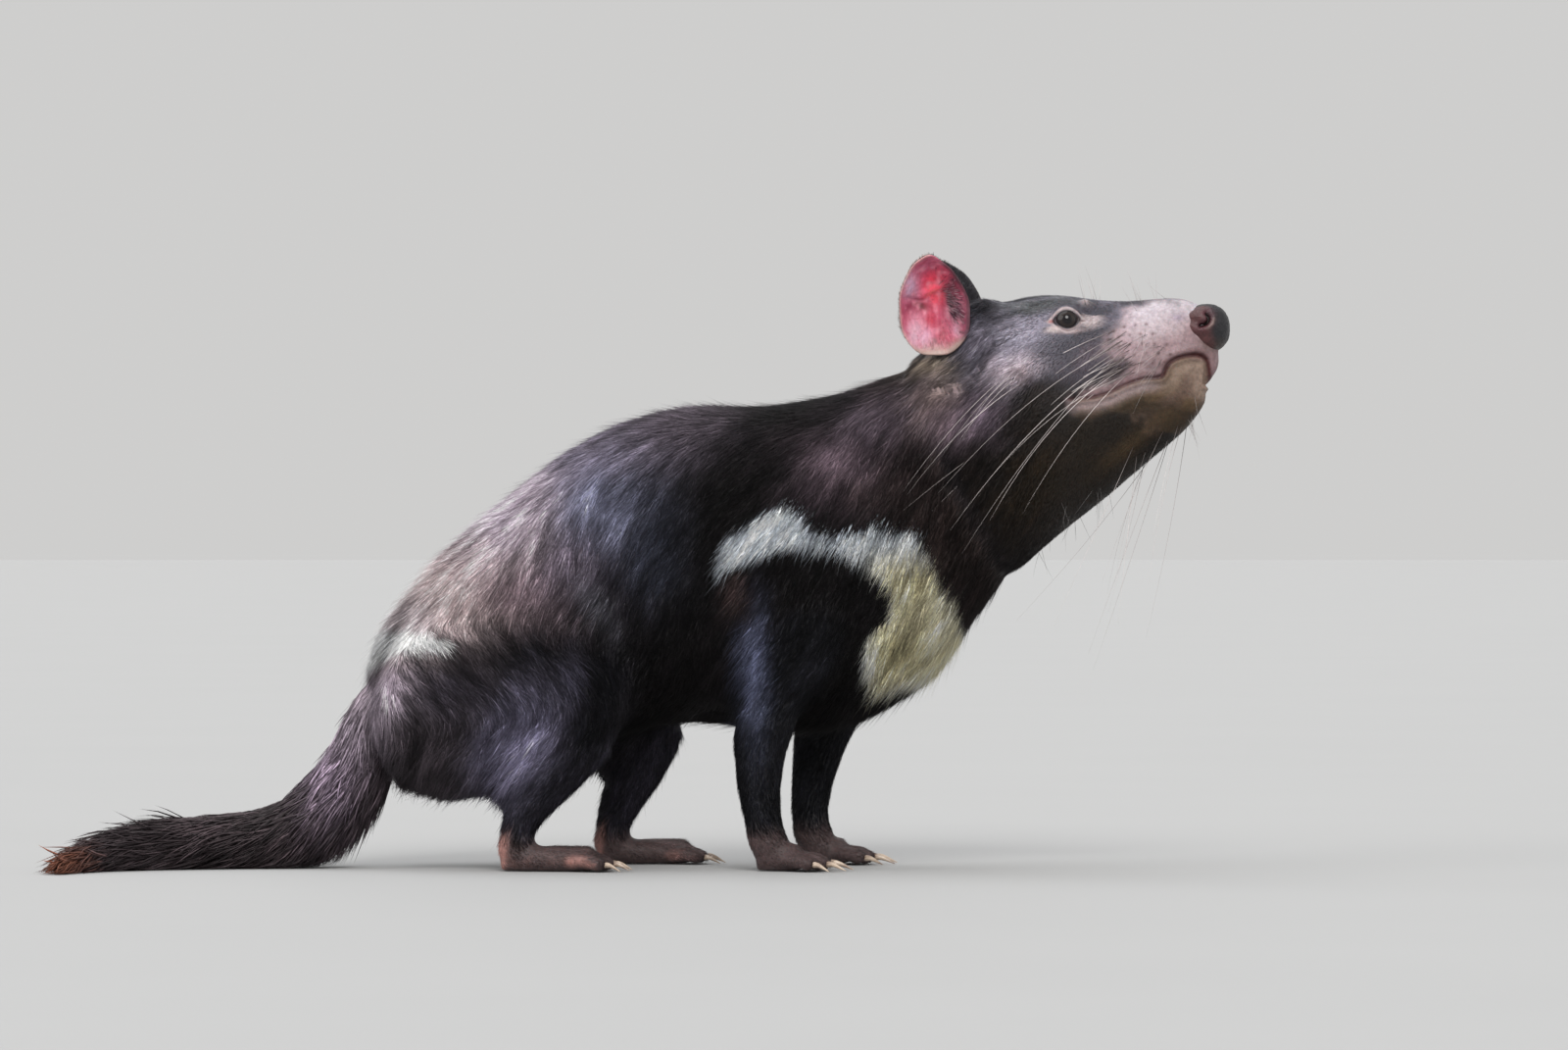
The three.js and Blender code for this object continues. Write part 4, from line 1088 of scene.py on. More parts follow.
    def paint_muzzle(self):
        wide, mid, fine = self.noise_wide, self.noise_mid, self.noise_fine
        x, above, muzzle = self.straight[:, 0], self.above_mouth, self.muzzle
        head = self.share("head", "jaw") > 0.4
        under_lip = smooth(0.5, -1.5, above) * smooth(222, 232, x) * head
        self.paint(MUZZLE_PINK, muzzle * (1 - under_lip))
        self.paint(MUZZLE_VIOLET, smooth(-0.1, 0.5, mid + 0.5 * fine) * muzzle * (above > 0) * 0.65)
        # The snout's top is painted paler where it faces up: partly its own pale colour, partly painted top
        # light
        self.paint(SNOUT_PALE_AND_TOP_LIGHT, muzzle * smooth(0.0, 0.8, self.normal[:, 2]) * smooth(242, 268, x) * 0.75)
        # Darker brown down towards the mouth line: partly the lip's own brown, partly painted shade
        self.paint(MUZZLE_BROWN_AND_SHADE, muzzle * smooth(17, 3, above) * (above > 0) * 0.75)
        chin = under_lip * smooth(0.02, 0.75, muzzle)
        self.paint(CHIN_TAN, chin)
        self.paint(MUZZLE_VIOLET, chin * smooth(0.0, 0.5, wide + 0.6 * mid) * 0.2)
        ridge = bell(above, 3.2, -4.6) * smooth(222, 230, x) * (1 - smooth(266, 282, x))
        self.paint(LIP_PALE, ridge * head * 0.9)
        arch = bell(above, 5.0, -5.5) * smooth(272, 284, x)
        self.paint(CHIN_PALE, arch * chin * 0.8)
        # The chin is painted darker brown towards the fur and lower down: partly its own brown mottling, partly
        # painted shade
        edge = smooth(38, 2, self.bare) + smooth(-8, -34, above) + 0.45 * mid + 0.3 * fine
        self.paint(CHIN_BROWN_AND_SHADE, chin * np.clip(edge, 0, 0.84) * smooth(-4, -12, above))
        across, down = self.pixel[:, 0] + 1.5 * mid, self.pixel[:, 1] + 1.5 * fine
        # Muzzle patches, among them the painted shadow under the nose pad
        for middle, size, turn, tint, strength in MUZZLE_MARKS_AND_SHADOW:
            self.paint(tint, strength * blob(across, down, middle, size, turn) * head)

    def paint_eyes(self):
        for name, side in SIDES.items():
            q, out, a, b = eye_share(self.straight, name)
            near = out > 0
            self.paint(PALE_LID, smooth(1.05, 1.2, q) * (1 - smooth(1.42, 1.62, q)) * near * 0.9)
            for place, size, tint, strength in EYE_TINTS:
                away = np.hypot((a - place[0]) / size[0], (b - place[1]) / size[1])
                self.paint(tint, strength * smooth(1.55, 0.35, away) * near)
            self.paint(LID_EDGE, bell(q, 0.12, 0.98) * near)
            brow = mirrored(BROW_BUMP, side)
            self.paint(PALE_LID, self.spot(brow, 3.1) * 0.95)
            for shift, size in BROW_MOLES:
                self.paint(BROW_DARK, self.spot(brow + mirrored(shift, side), size))
            self.paint(CHEEK_PALE, self.spot(mirrored(CHEEK_BUMP, side), 5.5) * 0.7)

    def spot(self, place, size):
        """1 at a straight place and falling away round it."""
        return bell(np.linalg.norm(self.straight - place, axis=1), size)

    def paint_mouth(self):
        x, z = self.straight[:, 0], self.straight[:, 2]
        # A dark red line along the mouth: partly the lip's own edge, partly painted shadow under the upper lip
        line = bell(self.above_mouth, 0.9 + 0.5 * smooth(270, 278, x))
        line = line * smooth(219, 227, x) * smooth(0.3, 0.5, self.share("head", "jaw"))
        self.paint(MOUTH_RED_AND_LIP_SHADE, line * (0.75 + 0.22 * smooth(268, 278, x) + 0.12 * self.noise_mid))
        for dot in FOLLICLES:
            away = np.hypot(x - dot[0], z - dot[1])
            self.paint(FOLLICLE_DARK, bell(away, 0.85) * (self.muzzle > 0.1) * 0.8)

    def paint_markings(self):
        s, p = self.straight, self.laid_pixel
        body = self.share("torso", "neck", "upper_foreleg", "lower_foreleg")
        chest = smooth(-4, 4, inside(CHEST_BAND, p) + self.ragged) * (body > 0.4) * (s[:, 0] > 15)
        self.paint(WHITE_FUR, chest)
        low = smooth(542, 594, p[:, 1]) * smooth(866, 900, p[:, 0]) * (1 - smooth(978, 992, p[:, 0]))
        self.paint(CREAM_FUR, chest * low * (0.8 + 0.2 * self.noise_wide))
        rear = smooth(-3, 3, inside(RUMP_STRIPE, p) + self.ragged * 0.7) * (s[:, 0] < -95)
        self.paint(STRIPE_WHITE, rear * self.share("torso", "thigh", "tail"))


# Coat

TUFTS = 280000
PIECE_LIMIT = 190000
FLOOR_CLEARANCE = 0.6
# Spread of the tufts' headings in degrees, lengths, widths and lifts about what the fields say
STRAY = 7
LENGTH_SPREAD = (0.72, 1.22)
WIDTH_SPREAD = (0.75, 1.2)
LIFT_SPREAD = (0.6, 1.35)
# One tuft: rings along its length, bend, brightness, shade and lift from root to tip, and its patch
RINGS = {"tail": 3}
TAIL_DROOP = 0.12
TUFT_BEND = 0.10
TUFT_BRIGHTNESS = 0.30
TUFT_SHADE = (0.72, 0.38)
TUFT_LIFT = (1.35, 0.55)
TUFT_WIDTHS = (0.46, 0.5, 0.36)
TUFT_THICKNESS = 0.85
ROOT_DEPTH = 0.7
PATCH = 0.003
# Longer, finer hairs among the others, which break up the outline
GUARD_SHARE = 0.09
GUARD_GROUPS = ("rump", "flank", "shoulder", "neck", "hindlegs")
GUARD_LENGTH = 0.45
GUARD_FINENESS = 0.4
GUARD_LIFT = 0.6
# Lighter and darker streaks along the lie: [strength, width, reach, seed]
STREAKS = [(0.80, 2.2, 7, 21), (0.55, 6.5, 18, 22)]
STREAK_STEPS = 7
# The coat's pieces: the regions of each, and the straight x between which it lies
EVERYWHERE = (-math.inf, math.inf)
COAT_GROUPS = {
    "rump": (["torso"], (-math.inf, -62)),
    "flank": (["torso"], (-62, 30)),
    "shoulder": (["torso"], (30, math.inf)),
    "neck": (["neck"], EVERYWHERE),
    "head": (["head", "ear_root"], (-math.inf, 205)),
    "face": (["head"], (205, math.inf)),
    "jaw": (["jaw"], EVERYWHERE),
    "forelegs": (["upper_foreleg", "lower_foreleg", "forepaw"], EVERYWHERE),
    "hindlegs": (["thigh", "shank", "hindpaw"], EVERYWHERE),
    "tail": (["tail"], EVERYWHERE),
}


def sample_skin(mesh, fields):
    """Places over the skin, more of them where the coat is denser, as triangle corners and their shares."""
    mesh.calc_loop_triangles()
    corners = np.empty(len(mesh.loop_triangles) * 3, int)
    mesh.loop_triangles.foreach_get("vertices", corners)
    corners = corners.reshape(-1, 3)
    a, b, c = (fields.co[corners[:, k]] for k in range(3))
    area = np.linalg.norm(np.cross(b - a, c - a), axis=1) / 200
    counts = np.cumsum(area * fields.density[corners].min(1))
    total = min(TUFTS, int(counts[-1]))
    marks = (np.arange(total) + rng.random(total)) / total * counts[-1]
    chosen = np.minimum(np.searchsorted(counts, marks), len(corners) - 1)
    r1, r2 = np.sqrt(rng.random(total)), rng.random(total)
    shares = np.stack([1 - r1, r1 * (1 - r2), r1 * r2], axis=1)
    return corners[chosen], shares


def blend_at(values, corners, shares):
    """Values of the skin's vertices, blended at places within its triangles."""
    if values.ndim == 1:
        return (values[corners] * shares).sum(1)
    return (values[corners] * shares[:, :, None]).sum(1)


def tuft_faces(rings):
    """Triangles in a tuft of so many rings: its root, its sides and its tip."""
    return 6 * rings - 2


def streaks(places, lie, width, reach, seed):
    """Noise drawn out along the lie of the coat, from about -1 to 1."""
    steps = np.linspace(-reach, reach, STREAK_STEPS)
    total = sum(value_noise(places + lie * step, width, seed) for step in steps)
    return total / math.sqrt(STREAK_STEPS)


def tuft_pattern(rings):
    """Faces of one tuft: its root, its sides and its tip."""
    quads = []
    for k in range(rings - 1):
        for j in range(3):
            a, b = k * 3 + j, k * 3 + (j + 1) % 3
            quads.append((b, a, a + 3, b + 3))
    last = (rings - 1) * 3
    return [(0, 1, 2)] + quads + [(last + (j + 1) % 3, last + j, last + 3) for j in range(3)]


def tuft_object(name, verts, tints, patches, pattern, material):
    """Many tufts of one pattern as one object, given by vertices, colours and places on the unwrap."""
    count, per = verts.shape[:2]
    sizes = np.array([len(f) for f in pattern])
    flat = np.array([i for f in pattern for i in f])
    loops = (flat[None, :] + (np.arange(count) * per)[:, None]).ravel()
    starts = np.concatenate([[0], np.cumsum(np.tile(sizes, count))[:-1]])
    mesh = bpy.data.meshes.new(name)
    mesh.vertices.add(count * per)
    mesh.loops.add(len(loops))
    mesh.polygons.add(len(pattern) * count)
    mesh.vertices.foreach_set("co", to_frame(verts.reshape(-1, 3)).ravel())
    mesh.loops.foreach_set("vertex_index", loops)
    mesh.polygons.foreach_set("loop_start", starts)
    mesh.polygons.foreach_set("use_smooth", np.ones(len(pattern) * count, bool))
    mesh.update(calc_edges=True)
    layer = mesh.uv_layers.new(name="OFBake")
    layer.data.foreach_set("uv", np.clip(patches.reshape(-1, 2)[loops], 0, 1).ravel())
    colour_attribute(mesh, "coat", np.clip(tints.reshape(-1, 3), 0, 1))
    mesh.materials.append(material)
    obj = bpy.data.objects.new(name, mesh)
    bpy.context.scene.collection.objects.link(obj)
    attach(obj, "root")


def tuft_mesh(name, root, normal, lie, length, width, lift, colour, uv, material, rings=1, droop=0.0, seed=0):
    """Closed tapered tufts of three sides, each with its own bend, as one mesh."""
    count = len(root)
    local = np.random.default_rng(seed)
    side = np.cross(normal, lie)
    bend_side = local.normal(0, TUFT_BEND, count)
    verts = np.empty((count, rings * 3 + 1, 3))
    tints = np.empty((count, rings * 3 + 1, 3))
    patches = np.empty((count, rings * 3 + 1, 2))
    bright = np.exp(local.normal(0, TUFT_BRIGHTNESS, count))
    for k, t in enumerate(np.linspace(0, 1, rings + 1)):
        rise = np.sin(lift * (TUFT_LIFT[0] - TUFT_LIFT[1] * t)) * t
        along = np.cos(lift) * t
        centre = root + lie * (length * along)[:, None] + normal * (length * rise)[:, None]
        centre = centre + side * (length * bend_side * t * t)[:, None]
        centre[:, 2] -= droop * length * t * t
        centre = centre - normal * (ROOT_DEPTH * (1 - t) ** 6)
        tint = colour * ((TUFT_SHADE[0] + TUFT_SHADE[1] * t) * bright)[:, None]
        if k == rings:
            verts[:, -1], tints[:, -1], patches[:, -1] = centre, tint, uv + (0, PATCH / 2)
            break
        half = width * TUFT_WIDTHS[k]
        verts[:, k * 3] = centre + side * half[:, None]
        verts[:, k * 3 + 1] = centre - side * half[:, None]
        verts[:, k * 3 + 2] = centre + normal * (half * TUFT_THICKNESS)[:, None]
        for j, across in enumerate((PATCH / 2, -PATCH / 2, 0)):
            tints[:, k * 3 + j] = tint
            patches[:, k * 3 + j] = uv + (across, t * PATCH - PATCH / 2)
    verts[:, :, 2] = np.maximum(verts[:, :, 2], FLOOR_CLEARANCE)
    tuft_object(name, verts, tints, patches, tuft_pattern(rings), material)


def clear_of_cup(straight, reach):
    """Shortens the hairs whose tips would lie over the ear's cup."""
    kept = np.ones(len(straight))
    for side in SIDES.values():
        share, height = in_ear(straight + reach, side)
        kept[(share < 1.02) & (height > -1) & (height < 30)] = 0.3
    return kept


def make_coat(skin, fields, material):
    """The coat over the whole skin, in pieces below the limit of triangles."""
    corners, shares = sample_skin(skin.data, fields)
    main_corner = corners[np.arange(len(corners)), shares.argmax(1)]
    region, x = fields.weights.argmax(1), fields.straight[:, 0]
    for order, (group, (names, (low, high))) in enumerate(COAT_GROUPS.items()):
        member = np.isin(region, [REGION_INDEX[r] for r in names]) & (x >= low) & (x < high)
        chosen = np.flatnonzero(member[main_corner])
        rings = RINGS.get(group, 1)
        lots = max(1, math.ceil(len(chosen) * tuft_faces(rings) / PIECE_LIMIT))
        for lot in range(lots):
            mine = chosen[lot::lots]
            name = f"coat_{group}" if lots == 1 else f"coat_{group}_{lot + 1}"
            cover(name, group, fields, corners[mine], shares[mine], main_corner[mine], material,
                  rings=rings, seed=order * 7 + lot)


def cover(name, group, fields, corners, shares, main_corner, material, rings, seed):
    """One piece of the coat, with a tuft at each of the places."""
    at = lambda values: blend_at(values, corners, shares)
    count = len(corners)
    normal = unit(at(fields.normal))
    lie = laid_flat(at(fields.lie), normal)
    lie = veered(lie, normal, rng.normal(0, np.radians(STRAY), count))
    length = at(fields.length) * rng.uniform(*LENGTH_SPREAD, count)
    root = at(fields.co)
    if group == "head":
        length = length * clear_of_cup(at(fields.straight), lie * length[:, None])
    flow = sum(strength * streaks(root, lie, *shape) for strength, *shape in STREAKS)
    tint = at(fields.colour) * np.exp(flow * (1 - 0.6 * at(fields.muzzle)))[:, None]
    width = at(fields.width) * rng.uniform(*WIDTH_SPREAD, count)
    lift = np.radians(at(fields.lift)) * rng.uniform(*LIFT_SPREAD, count)
    guard = (rng.random(count) < GUARD_SHARE) & (group in GUARD_GROUPS)
    length = length * (1 + GUARD_LENGTH * guard)
    width = width * (1 - GUARD_FINENESS * guard)
    lift = lift * (1 + GUARD_LIFT * guard)
    tuft_mesh(name, root, normal, lie, length, width, lift, tint, fields.uv[main_corner], material,
              rings=rings, droop=TAIL_DROOP if group == "tail" else 0.0, seed=seed)


# Ears: size, and the directions in which the cup stands and opens

EAR_CENTRE = (144.5, 41.5, 319.5)
EAR_HALF_HEIGHT = 30
EAR_HALF_WIDTH = 22.5
EAR_DEPTH = 12
EAR_THICKNESS = 2.0
EAR_UP = (-0.06, 0.34, 0.94)
EAR_OUT = (0.3, 0.88, -0.3)
EAR_SPOKES = 96
EAR_RINGS = 30
EAR_TAPER = 0.16
EAR_LEAN = 2.2
EAR_CUP_POWER = 2.2

# Inside of the ear, as blobs at [forward, up] from its middle: [place, size, turn in degrees, height]
EAR_FOLDS = [
    ((-4.8, -3.2), (5.0, 2.0), -30, -2.2),
    ((-11.5, 3.2), (6.5, 1.3), -22, -2.0),
    ((-12.3, 12.8), (5.5, 8.5), 20, 1.5),
    ((-11.7, -13.5), (6.0, 8.0), -25, 2.2),
    ((3.4, -14.0), (2.0, 8.5), -8, 1.9),
    ((-1.8, -16.5), (1.3, 8.0), -14, -1.4),
    ((0.5, 5.5), (7.5, 2.2), 18, 1.6),
    ((3.5, 15.0), (5.0, 6.5), 0, -1.3),
    ((9.5, -3.0), (1.7, 11.0), 10, 1.4),
    ((14.0, -7.0), (1.5, 9.0), 8, -1.2),
]
EAR_RED = (0.500, 0.090, 0.160)
# Colours inside the ear: [place, size, turn, colour, share]; the thin orange-pink line is a painted highlight
# and the dark red spot in the slit is painted shade
EAR_COLOURS_AND_PAINTED_LIGHT = [
    ((3.6, 10.5), (8.5, 9.5), -20, (0.800, 0.040, 0.090), 0.95),
    ((5.6, 1.5), (6.5, 6.5), -20, (0.760, 0.065, 0.105), 0.85),
    ((2.0, 4.6), (4.0, 1.0), 20, (0.840, 0.180, 0.180), 0.8),
    ((-1.5, 24.0), (9.0, 5.5), 0, (0.500, 0.130, 0.220), 0.85),
    ((-13.3, 12.6), (6.2, 9.5), 15, (0.600, 0.410, 0.560), 0.98),
    ((-12.5, -0.8), (7.5, 4.0), -12, (0.260, 0.030, 0.070), 0.95),
    ((-4.8, -3.2), (4.6, 2.2), -30, (0.120, 0.010, 0.010), 0.95),
    ((-12.0, -16.0), (7.0, 9.0), -25, (0.640, 0.400, 0.490), 0.92),
    ((-5.6, -20.0), (5.0, 7.0), -25, (0.650, 0.400, 0.520), 0.85),
    ((-1.5, -28.0), (9.0, 4.0), -8, (0.600, 0.470, 0.450), 0.85),
    ((0.0, -11.5), (4.0, 4.5), 0, (0.500, 0.045, 0.080), 0.8),
    ((5.6, -20.5), (4.0, 7.5), -8, (0.300, 0.032, 0.060), 0.85),
    ((0.5, -22.5), (1.5, 2.2), 0, (0.100, 0.021, 0.030), 0.8),
    ((15.6, -7.0), (6.2, 11.0), 8, (0.085, 0.038, 0.062), 0.92),
    ((14.5, -18.5), (2.6, 3.6), 0, (0.500, 0.300, 0.390), 0.7),
    ((15.4, 10.5), (3.6, 11.0), -22, (0.095, 0.024, 0.042), 0.9),
]
EAR_VEIN = (0.36, 0.030, 0.060)
EAR_BLOOM = (0.74, 0.300, 0.380)
EAR_RIM = (0.50, 0.330, 0.300)
EAR_RIM_DARK = (0.050, 0.026, 0.036)
EAR_BOTTOM = (0.31, 0.225, 0.190)
EAR_FLOOR = -1.1
EAR_FUR_STAND = 0.45
EAR_HAIR_DARK = (0.050, 0.028, 0.038)
EAR_HAIR_PALE = (0.42, 0.290, 0.330)
EAR_SKIRT = (0.27, 0.200, 0.150)

# The ear's hairs: how many on the back, the rim, inside the front edge and over the bottom of the cup
EAR_HAIRS = ((7000, 900, 480, 420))
EAR_HAIR_LENGTH = 4.2
EAR_HAIR_WIDTH = 0.5


def ear_frame(side):
    """Middle of an ear, with its upward, outward and forward directions."""
    up = unit(mirrored(EAR_UP, side))
    out = mirrored(EAR_OUT, side)
    out = unit(out - up * out.dot(up))
    forward = np.cross(up, out)
    return mirrored(EAR_CENTRE, side), up, out, forward if forward[0] > 0 else -forward


def ear_sheet(share, angle):
    """Forward and up places across the ear, with the depth of its cup."""
    wide = EAR_HALF_WIDTH * (1 - EAR_TAPER * np.cos(angle))
    edge = 1 + 0.012 * np.sin(5 * angle + 1) + 0.010 * np.sin(9 * angle)
    lean = -EAR_LEAN * share**2 * np.cos(angle)
    a = share * wide * np.sin(angle) * edge + lean
    b = share * EAR_HALF_HEIGHT * np.cos(angle) * edge
    return a, b, EAR_DEPTH * (1 - share**EAR_CUP_POWER)


def in_ear(straight, side):
    """Share of the way from the cup's middle to its rim, and height over its front, of straight places."""
    centre, up, out, forward = ear_frame(side)
    local = straight - centre
    a, b = local @ forward, local @ up
    leaning = EAR_HALF_WIDTH * (1 - EAR_TAPER * np.clip(b / EAR_HALF_HEIGHT, -1, 1))
    share = np.hypot(a / leaning, b / EAR_HALF_HEIGHT)
    return share, local @ out + EAR_DEPTH * (1 - np.clip(share, 0, 1) ** EAR_CUP_POWER)


def clear_of_ears(straight):
    """Keeps the head's skin behind the ear's cup, and lets it rise in front of the rim."""
    for side in SIDES.values():
        share, height = in_ear(straight, side)
        limit = -EAR_THICKNESS - 0.8 + 15 * smooth(1.0, 1.5, share)
        excess = np.where((share < 1.5) & (height < 30), np.maximum(height - limit, 0), 0)
        straight = straight - excess[:, None] * ear_frame(side)[2]
    return straight


def ear_places(side):
    """A function from forward, up and outward distances in the ear to straight places."""
    centre, up, out, forward = ear_frame(side)
    return lambda a, b, depth: centre + np.outer(a, forward) + np.outer(b, up) + np.outer(depth, out)


def ear_rise(a, b):
    """Height of the folds inside the ear."""
    return sum(height * blob(a, b, place, size, turn) for place, size, turn, height in EAR_FOLDS)


def ear_faces(half):
    """Faces of the cup, whose front has half of the points and its back the other half."""
    faces = []
    for k in range(EAR_SPOKES):
        nxt = (k + 1) % EAR_SPOKES
        faces.append((2 * half, k, nxt))
        faces.append((2 * half + 1, half + nxt, half + k))
        for row in range(EAR_RINGS - 1):
            p, q = row * EAR_SPOKES + k, row * EAR_SPOKES + nxt
            faces.append((p, p + EAR_SPOKES, q + EAR_SPOKES, q))
            faces.append((half + p, half + q, half + q + EAR_SPOKES, half + p + EAR_SPOKES))
        p, q = (EAR_RINGS - 1) * EAR_SPOKES + k, (EAR_RINGS - 1) * EAR_SPOKES + nxt
        faces.append((p, half + p, half + q, q))
    return faces


def ear_colours(a, b, share):
    """Colours of the cup's front and back."""
    half = len(a)
    flat = np.stack([a, b, b * 0], 1)
    colour = np.tile(np.array(EAR_RED), (half, 1))
    # The ear's own colours, with a painted highlight line and painted shade in the slit
    for spot, size, turn, tint, strength in EAR_COLOURS_AND_PAINTED_LIGHT:
        colour = over(colour, tint, strength * blob(a, b, spot, size, turn))
    vein = np.abs(value_noise(flat, 6.5, 12))
    colour = over(colour, EAR_VEIN, 0.5 * bell(vein, 0.05) * (share < 0.9))
    pale = np.clip(value_noise(flat, 3.4, 5) - 0.10, 0, 1)
    colour = over(colour, EAR_BLOOM, pale * 0.8)
    colour = over(colour, EAR_RIM, smooth(0.90, 0.99, share) * smooth(6, -4, a) * 0.6)
    colour = over(colour, EAR_RIM_DARK, smooth(0.86, 0.97, share) * smooth(4, 10, a) * 0.85)
    colour = over(colour, EAR_BOTTOM, smooth(0.80, 0.96, share) * smooth(-20, -26, b) * 0.8)
    dark = np.tile(np.array(EAR_ROOT_BLACK), (half, 1)) * 1.6
    dark = over(dark, EAR_RIM, smooth(0.93, 1.0, share) * smooth(6, -4, a) * 0.7)
    return np.vstack([colour, dark, [EAR_RED], [EAR_ROOT_BLACK]])


def make_ear(name, side, material, fur):
    """The ear's cup with its folds, and the hairs on it."""
    shares = np.linspace(0, 1, EAR_RINGS + 1)[1:] ** 0.8
    angles = np.linspace(0, 2 * np.pi, EAR_SPOKES, endpoint=False)
    share, angle = np.meshgrid(shares, angles, indexing="ij")
    share, angle = share.ravel(), angle.ravel()
    a, b, cup = ear_sheet(share, angle)
    flat = 1 - smooth(0.82, 1.0, share)
    rise = np.maximum(ear_rise(a, b), EAR_FLOOR)
    grain = value_noise(np.stack([a, b, b * 0], 1), 3.4, 8) * 0.28
    lip = bell(share, 0.05, 0.95) * 0.7
    front = -cup + (rise + grain) * flat + lip
    back = -cup - EAR_THICKNESS * (0.55 + 0.45 * flat)
    rim_round = share > 0.999
    back[rim_round] = (front[rim_round] + back[rim_round]) / 2
    place = ear_places(side)
    none = np.zeros(1)
    middle_front = place(none, none, np.array([-EAR_DEPTH + ear_rise(0, 0)]))
    middle_back = place(none, none, np.array([-EAR_DEPTH - EAR_THICKNESS]))
    vertices = np.vstack([place(a, b, front), place(a, b, back), middle_front, middle_back])
    ear = new_object(name, to_frame(turned(vertices)), ear_faces(len(a)), material)
    with edited(ear.data) as bm:
        bmesh.ops.recalc_face_normals(bm, faces=bm.faces)
    colour_attribute(ear.data, "coat", np.clip(ear_colours(a, b, share), DARKEST, 1))
    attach(ear, "root")
    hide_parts(f"ear_{name.split('_')[-1]}")
    ear_fur(f"coat_{name}", side, fur)


def ear_fur(name, side, material):
    """Short dark hairs over the back of the ear, a fringe on its rim and hairs inside its front edge."""
    local = np.random.default_rng(31 + side)
    count, fringe, inner, skirt = EAR_HAIRS
    share = [np.sqrt(local.uniform(0.03, 0.82, count))]
    angle = [local.uniform(0, 2 * np.pi, count)]
    share.append(local.uniform(0.94, 0.995, fringe))
    angle.append(local.uniform(0, 2 * np.pi, fringe))
    share.append(local.uniform(0.55, 0.95, inner))
    angle.append(local.normal(1.75, 0.42, inner))
    share.append(0.995 - np.minimum(np.abs(local.normal(0, 0.09, skirt)), 0.3))
    angle.append(local.normal(np.pi + 0.1, 0.42, skirt))
    share, angle = np.concatenate(share), np.concatenate(angle)
    total = len(share)
    on_rim = slice(count, count + fringe)
    is_inner = np.arange(total) >= count + fringe
    is_skirt = np.arange(total) >= count + fringe + inner

    def rooted(share):
        a, b, cup = ear_sheet(share, angle)
        return a, b, np.where(is_inner, -cup + 0.1, -cup - EAR_THICKNESS - EAR_FUR_STAND)

    place = ear_places(side)
    a, b, depth = rooted(share)
    root, ahead = place(a, b, depth), place(*rooted(share + 0.02))
    _, up, out, forward = ear_frame(side)
    radial = unit(ahead - root)
    lie = unit(radial * 0.6 + up * 0.8)
    lie[is_inner] = unit(-radial[is_inner] * 0.8 + up * 0.3 + forward * 0.1)
    normal = unit(np.cross(radial, np.cross(radial, out)))
    normal *= (np.sign(normal @ out) * np.where(is_inner, 1.0, -1.0))[:, None]
    lie = laid_flat(lie, normal)
    lift = np.radians(np.where(is_inner, 30, 9)) * local.uniform(0.6, 1.4, total)
    length = EAR_HAIR_LENGTH * local.uniform(0.7, 1.3, total)
    width = EAR_HAIR_WIDTH * local.uniform(0.7, 1.2, total)
    width[count:] *= 0.5
    length[on_rim] *= 0.4
    length[is_skirt] *= local.uniform(0.6, 1.6, skirt)
    width[is_skirt] *= 0.7
    lift[is_skirt] *= 0.5
    black = np.array(EAR_ROOT_BLACK)
    colour = np.tile(black * 1.5, (total, 1))
    colour[on_rim] = lerp(black, EAR_RIM, smooth(8, -4, a[on_rim])[:, None])
    colour[is_inner] = EAR_HAIR_DARK
    colour[is_inner & (local.random(total) < 0.4)] = EAR_HAIR_PALE
    tan = local.uniform(0, 1, (skirt, 1)) * smooth(0.80, 0.97, share[is_skirt])[:, None]
    bright = local.uniform(0.6, 1.2, (skirt, 1))
    colour[is_skirt] = lerp(np.array(EAR_BLOOM), np.array(EAR_SKIRT), tan) * bright
    turn = head_swing(root)
    uv = np.stack([a / 50 + 0.5, b / 70 + 0.5], axis=1)
    tuft_mesh(name, turned(root), swung(normal, turn), swung(lie, turn), length, width, lift, colour, uv,
              material, seed=77 + side)


# Nose

NOSE_VOXEL = 0.5
NOSE_ROUNDS = 14
NOSTRIL_STEPS = 8
NOSE_BLACK = (0.0090, 0.0085, 0.0110)
NOSE_BROWN = (0.035, 0.020, 0.014)
NOSE_RED = (0.066, 0.021, 0.022)
NOSE_PLUM = (0.060, 0.015, 0.023)
NOSTRIL_RIM_AND_HIGHLIGHT = (0.28, 0.19, 0.17)
NOSTRIL_BLACK = (0.006, 0.002, 0.002)


def squared(centre, size, squareness):
    """A rounded box, as an ellipsoid with fuller corners."""
    vertices, faces = ellipsoid((0, 0, 0), (1, 1, 1), 48, 28)
    fuller = (np.abs(vertices) ** squareness).sum(1, keepdims=True) ** (-1 / squareness)
    return np.array(centre) + vertices * fuller * np.array(size), faces


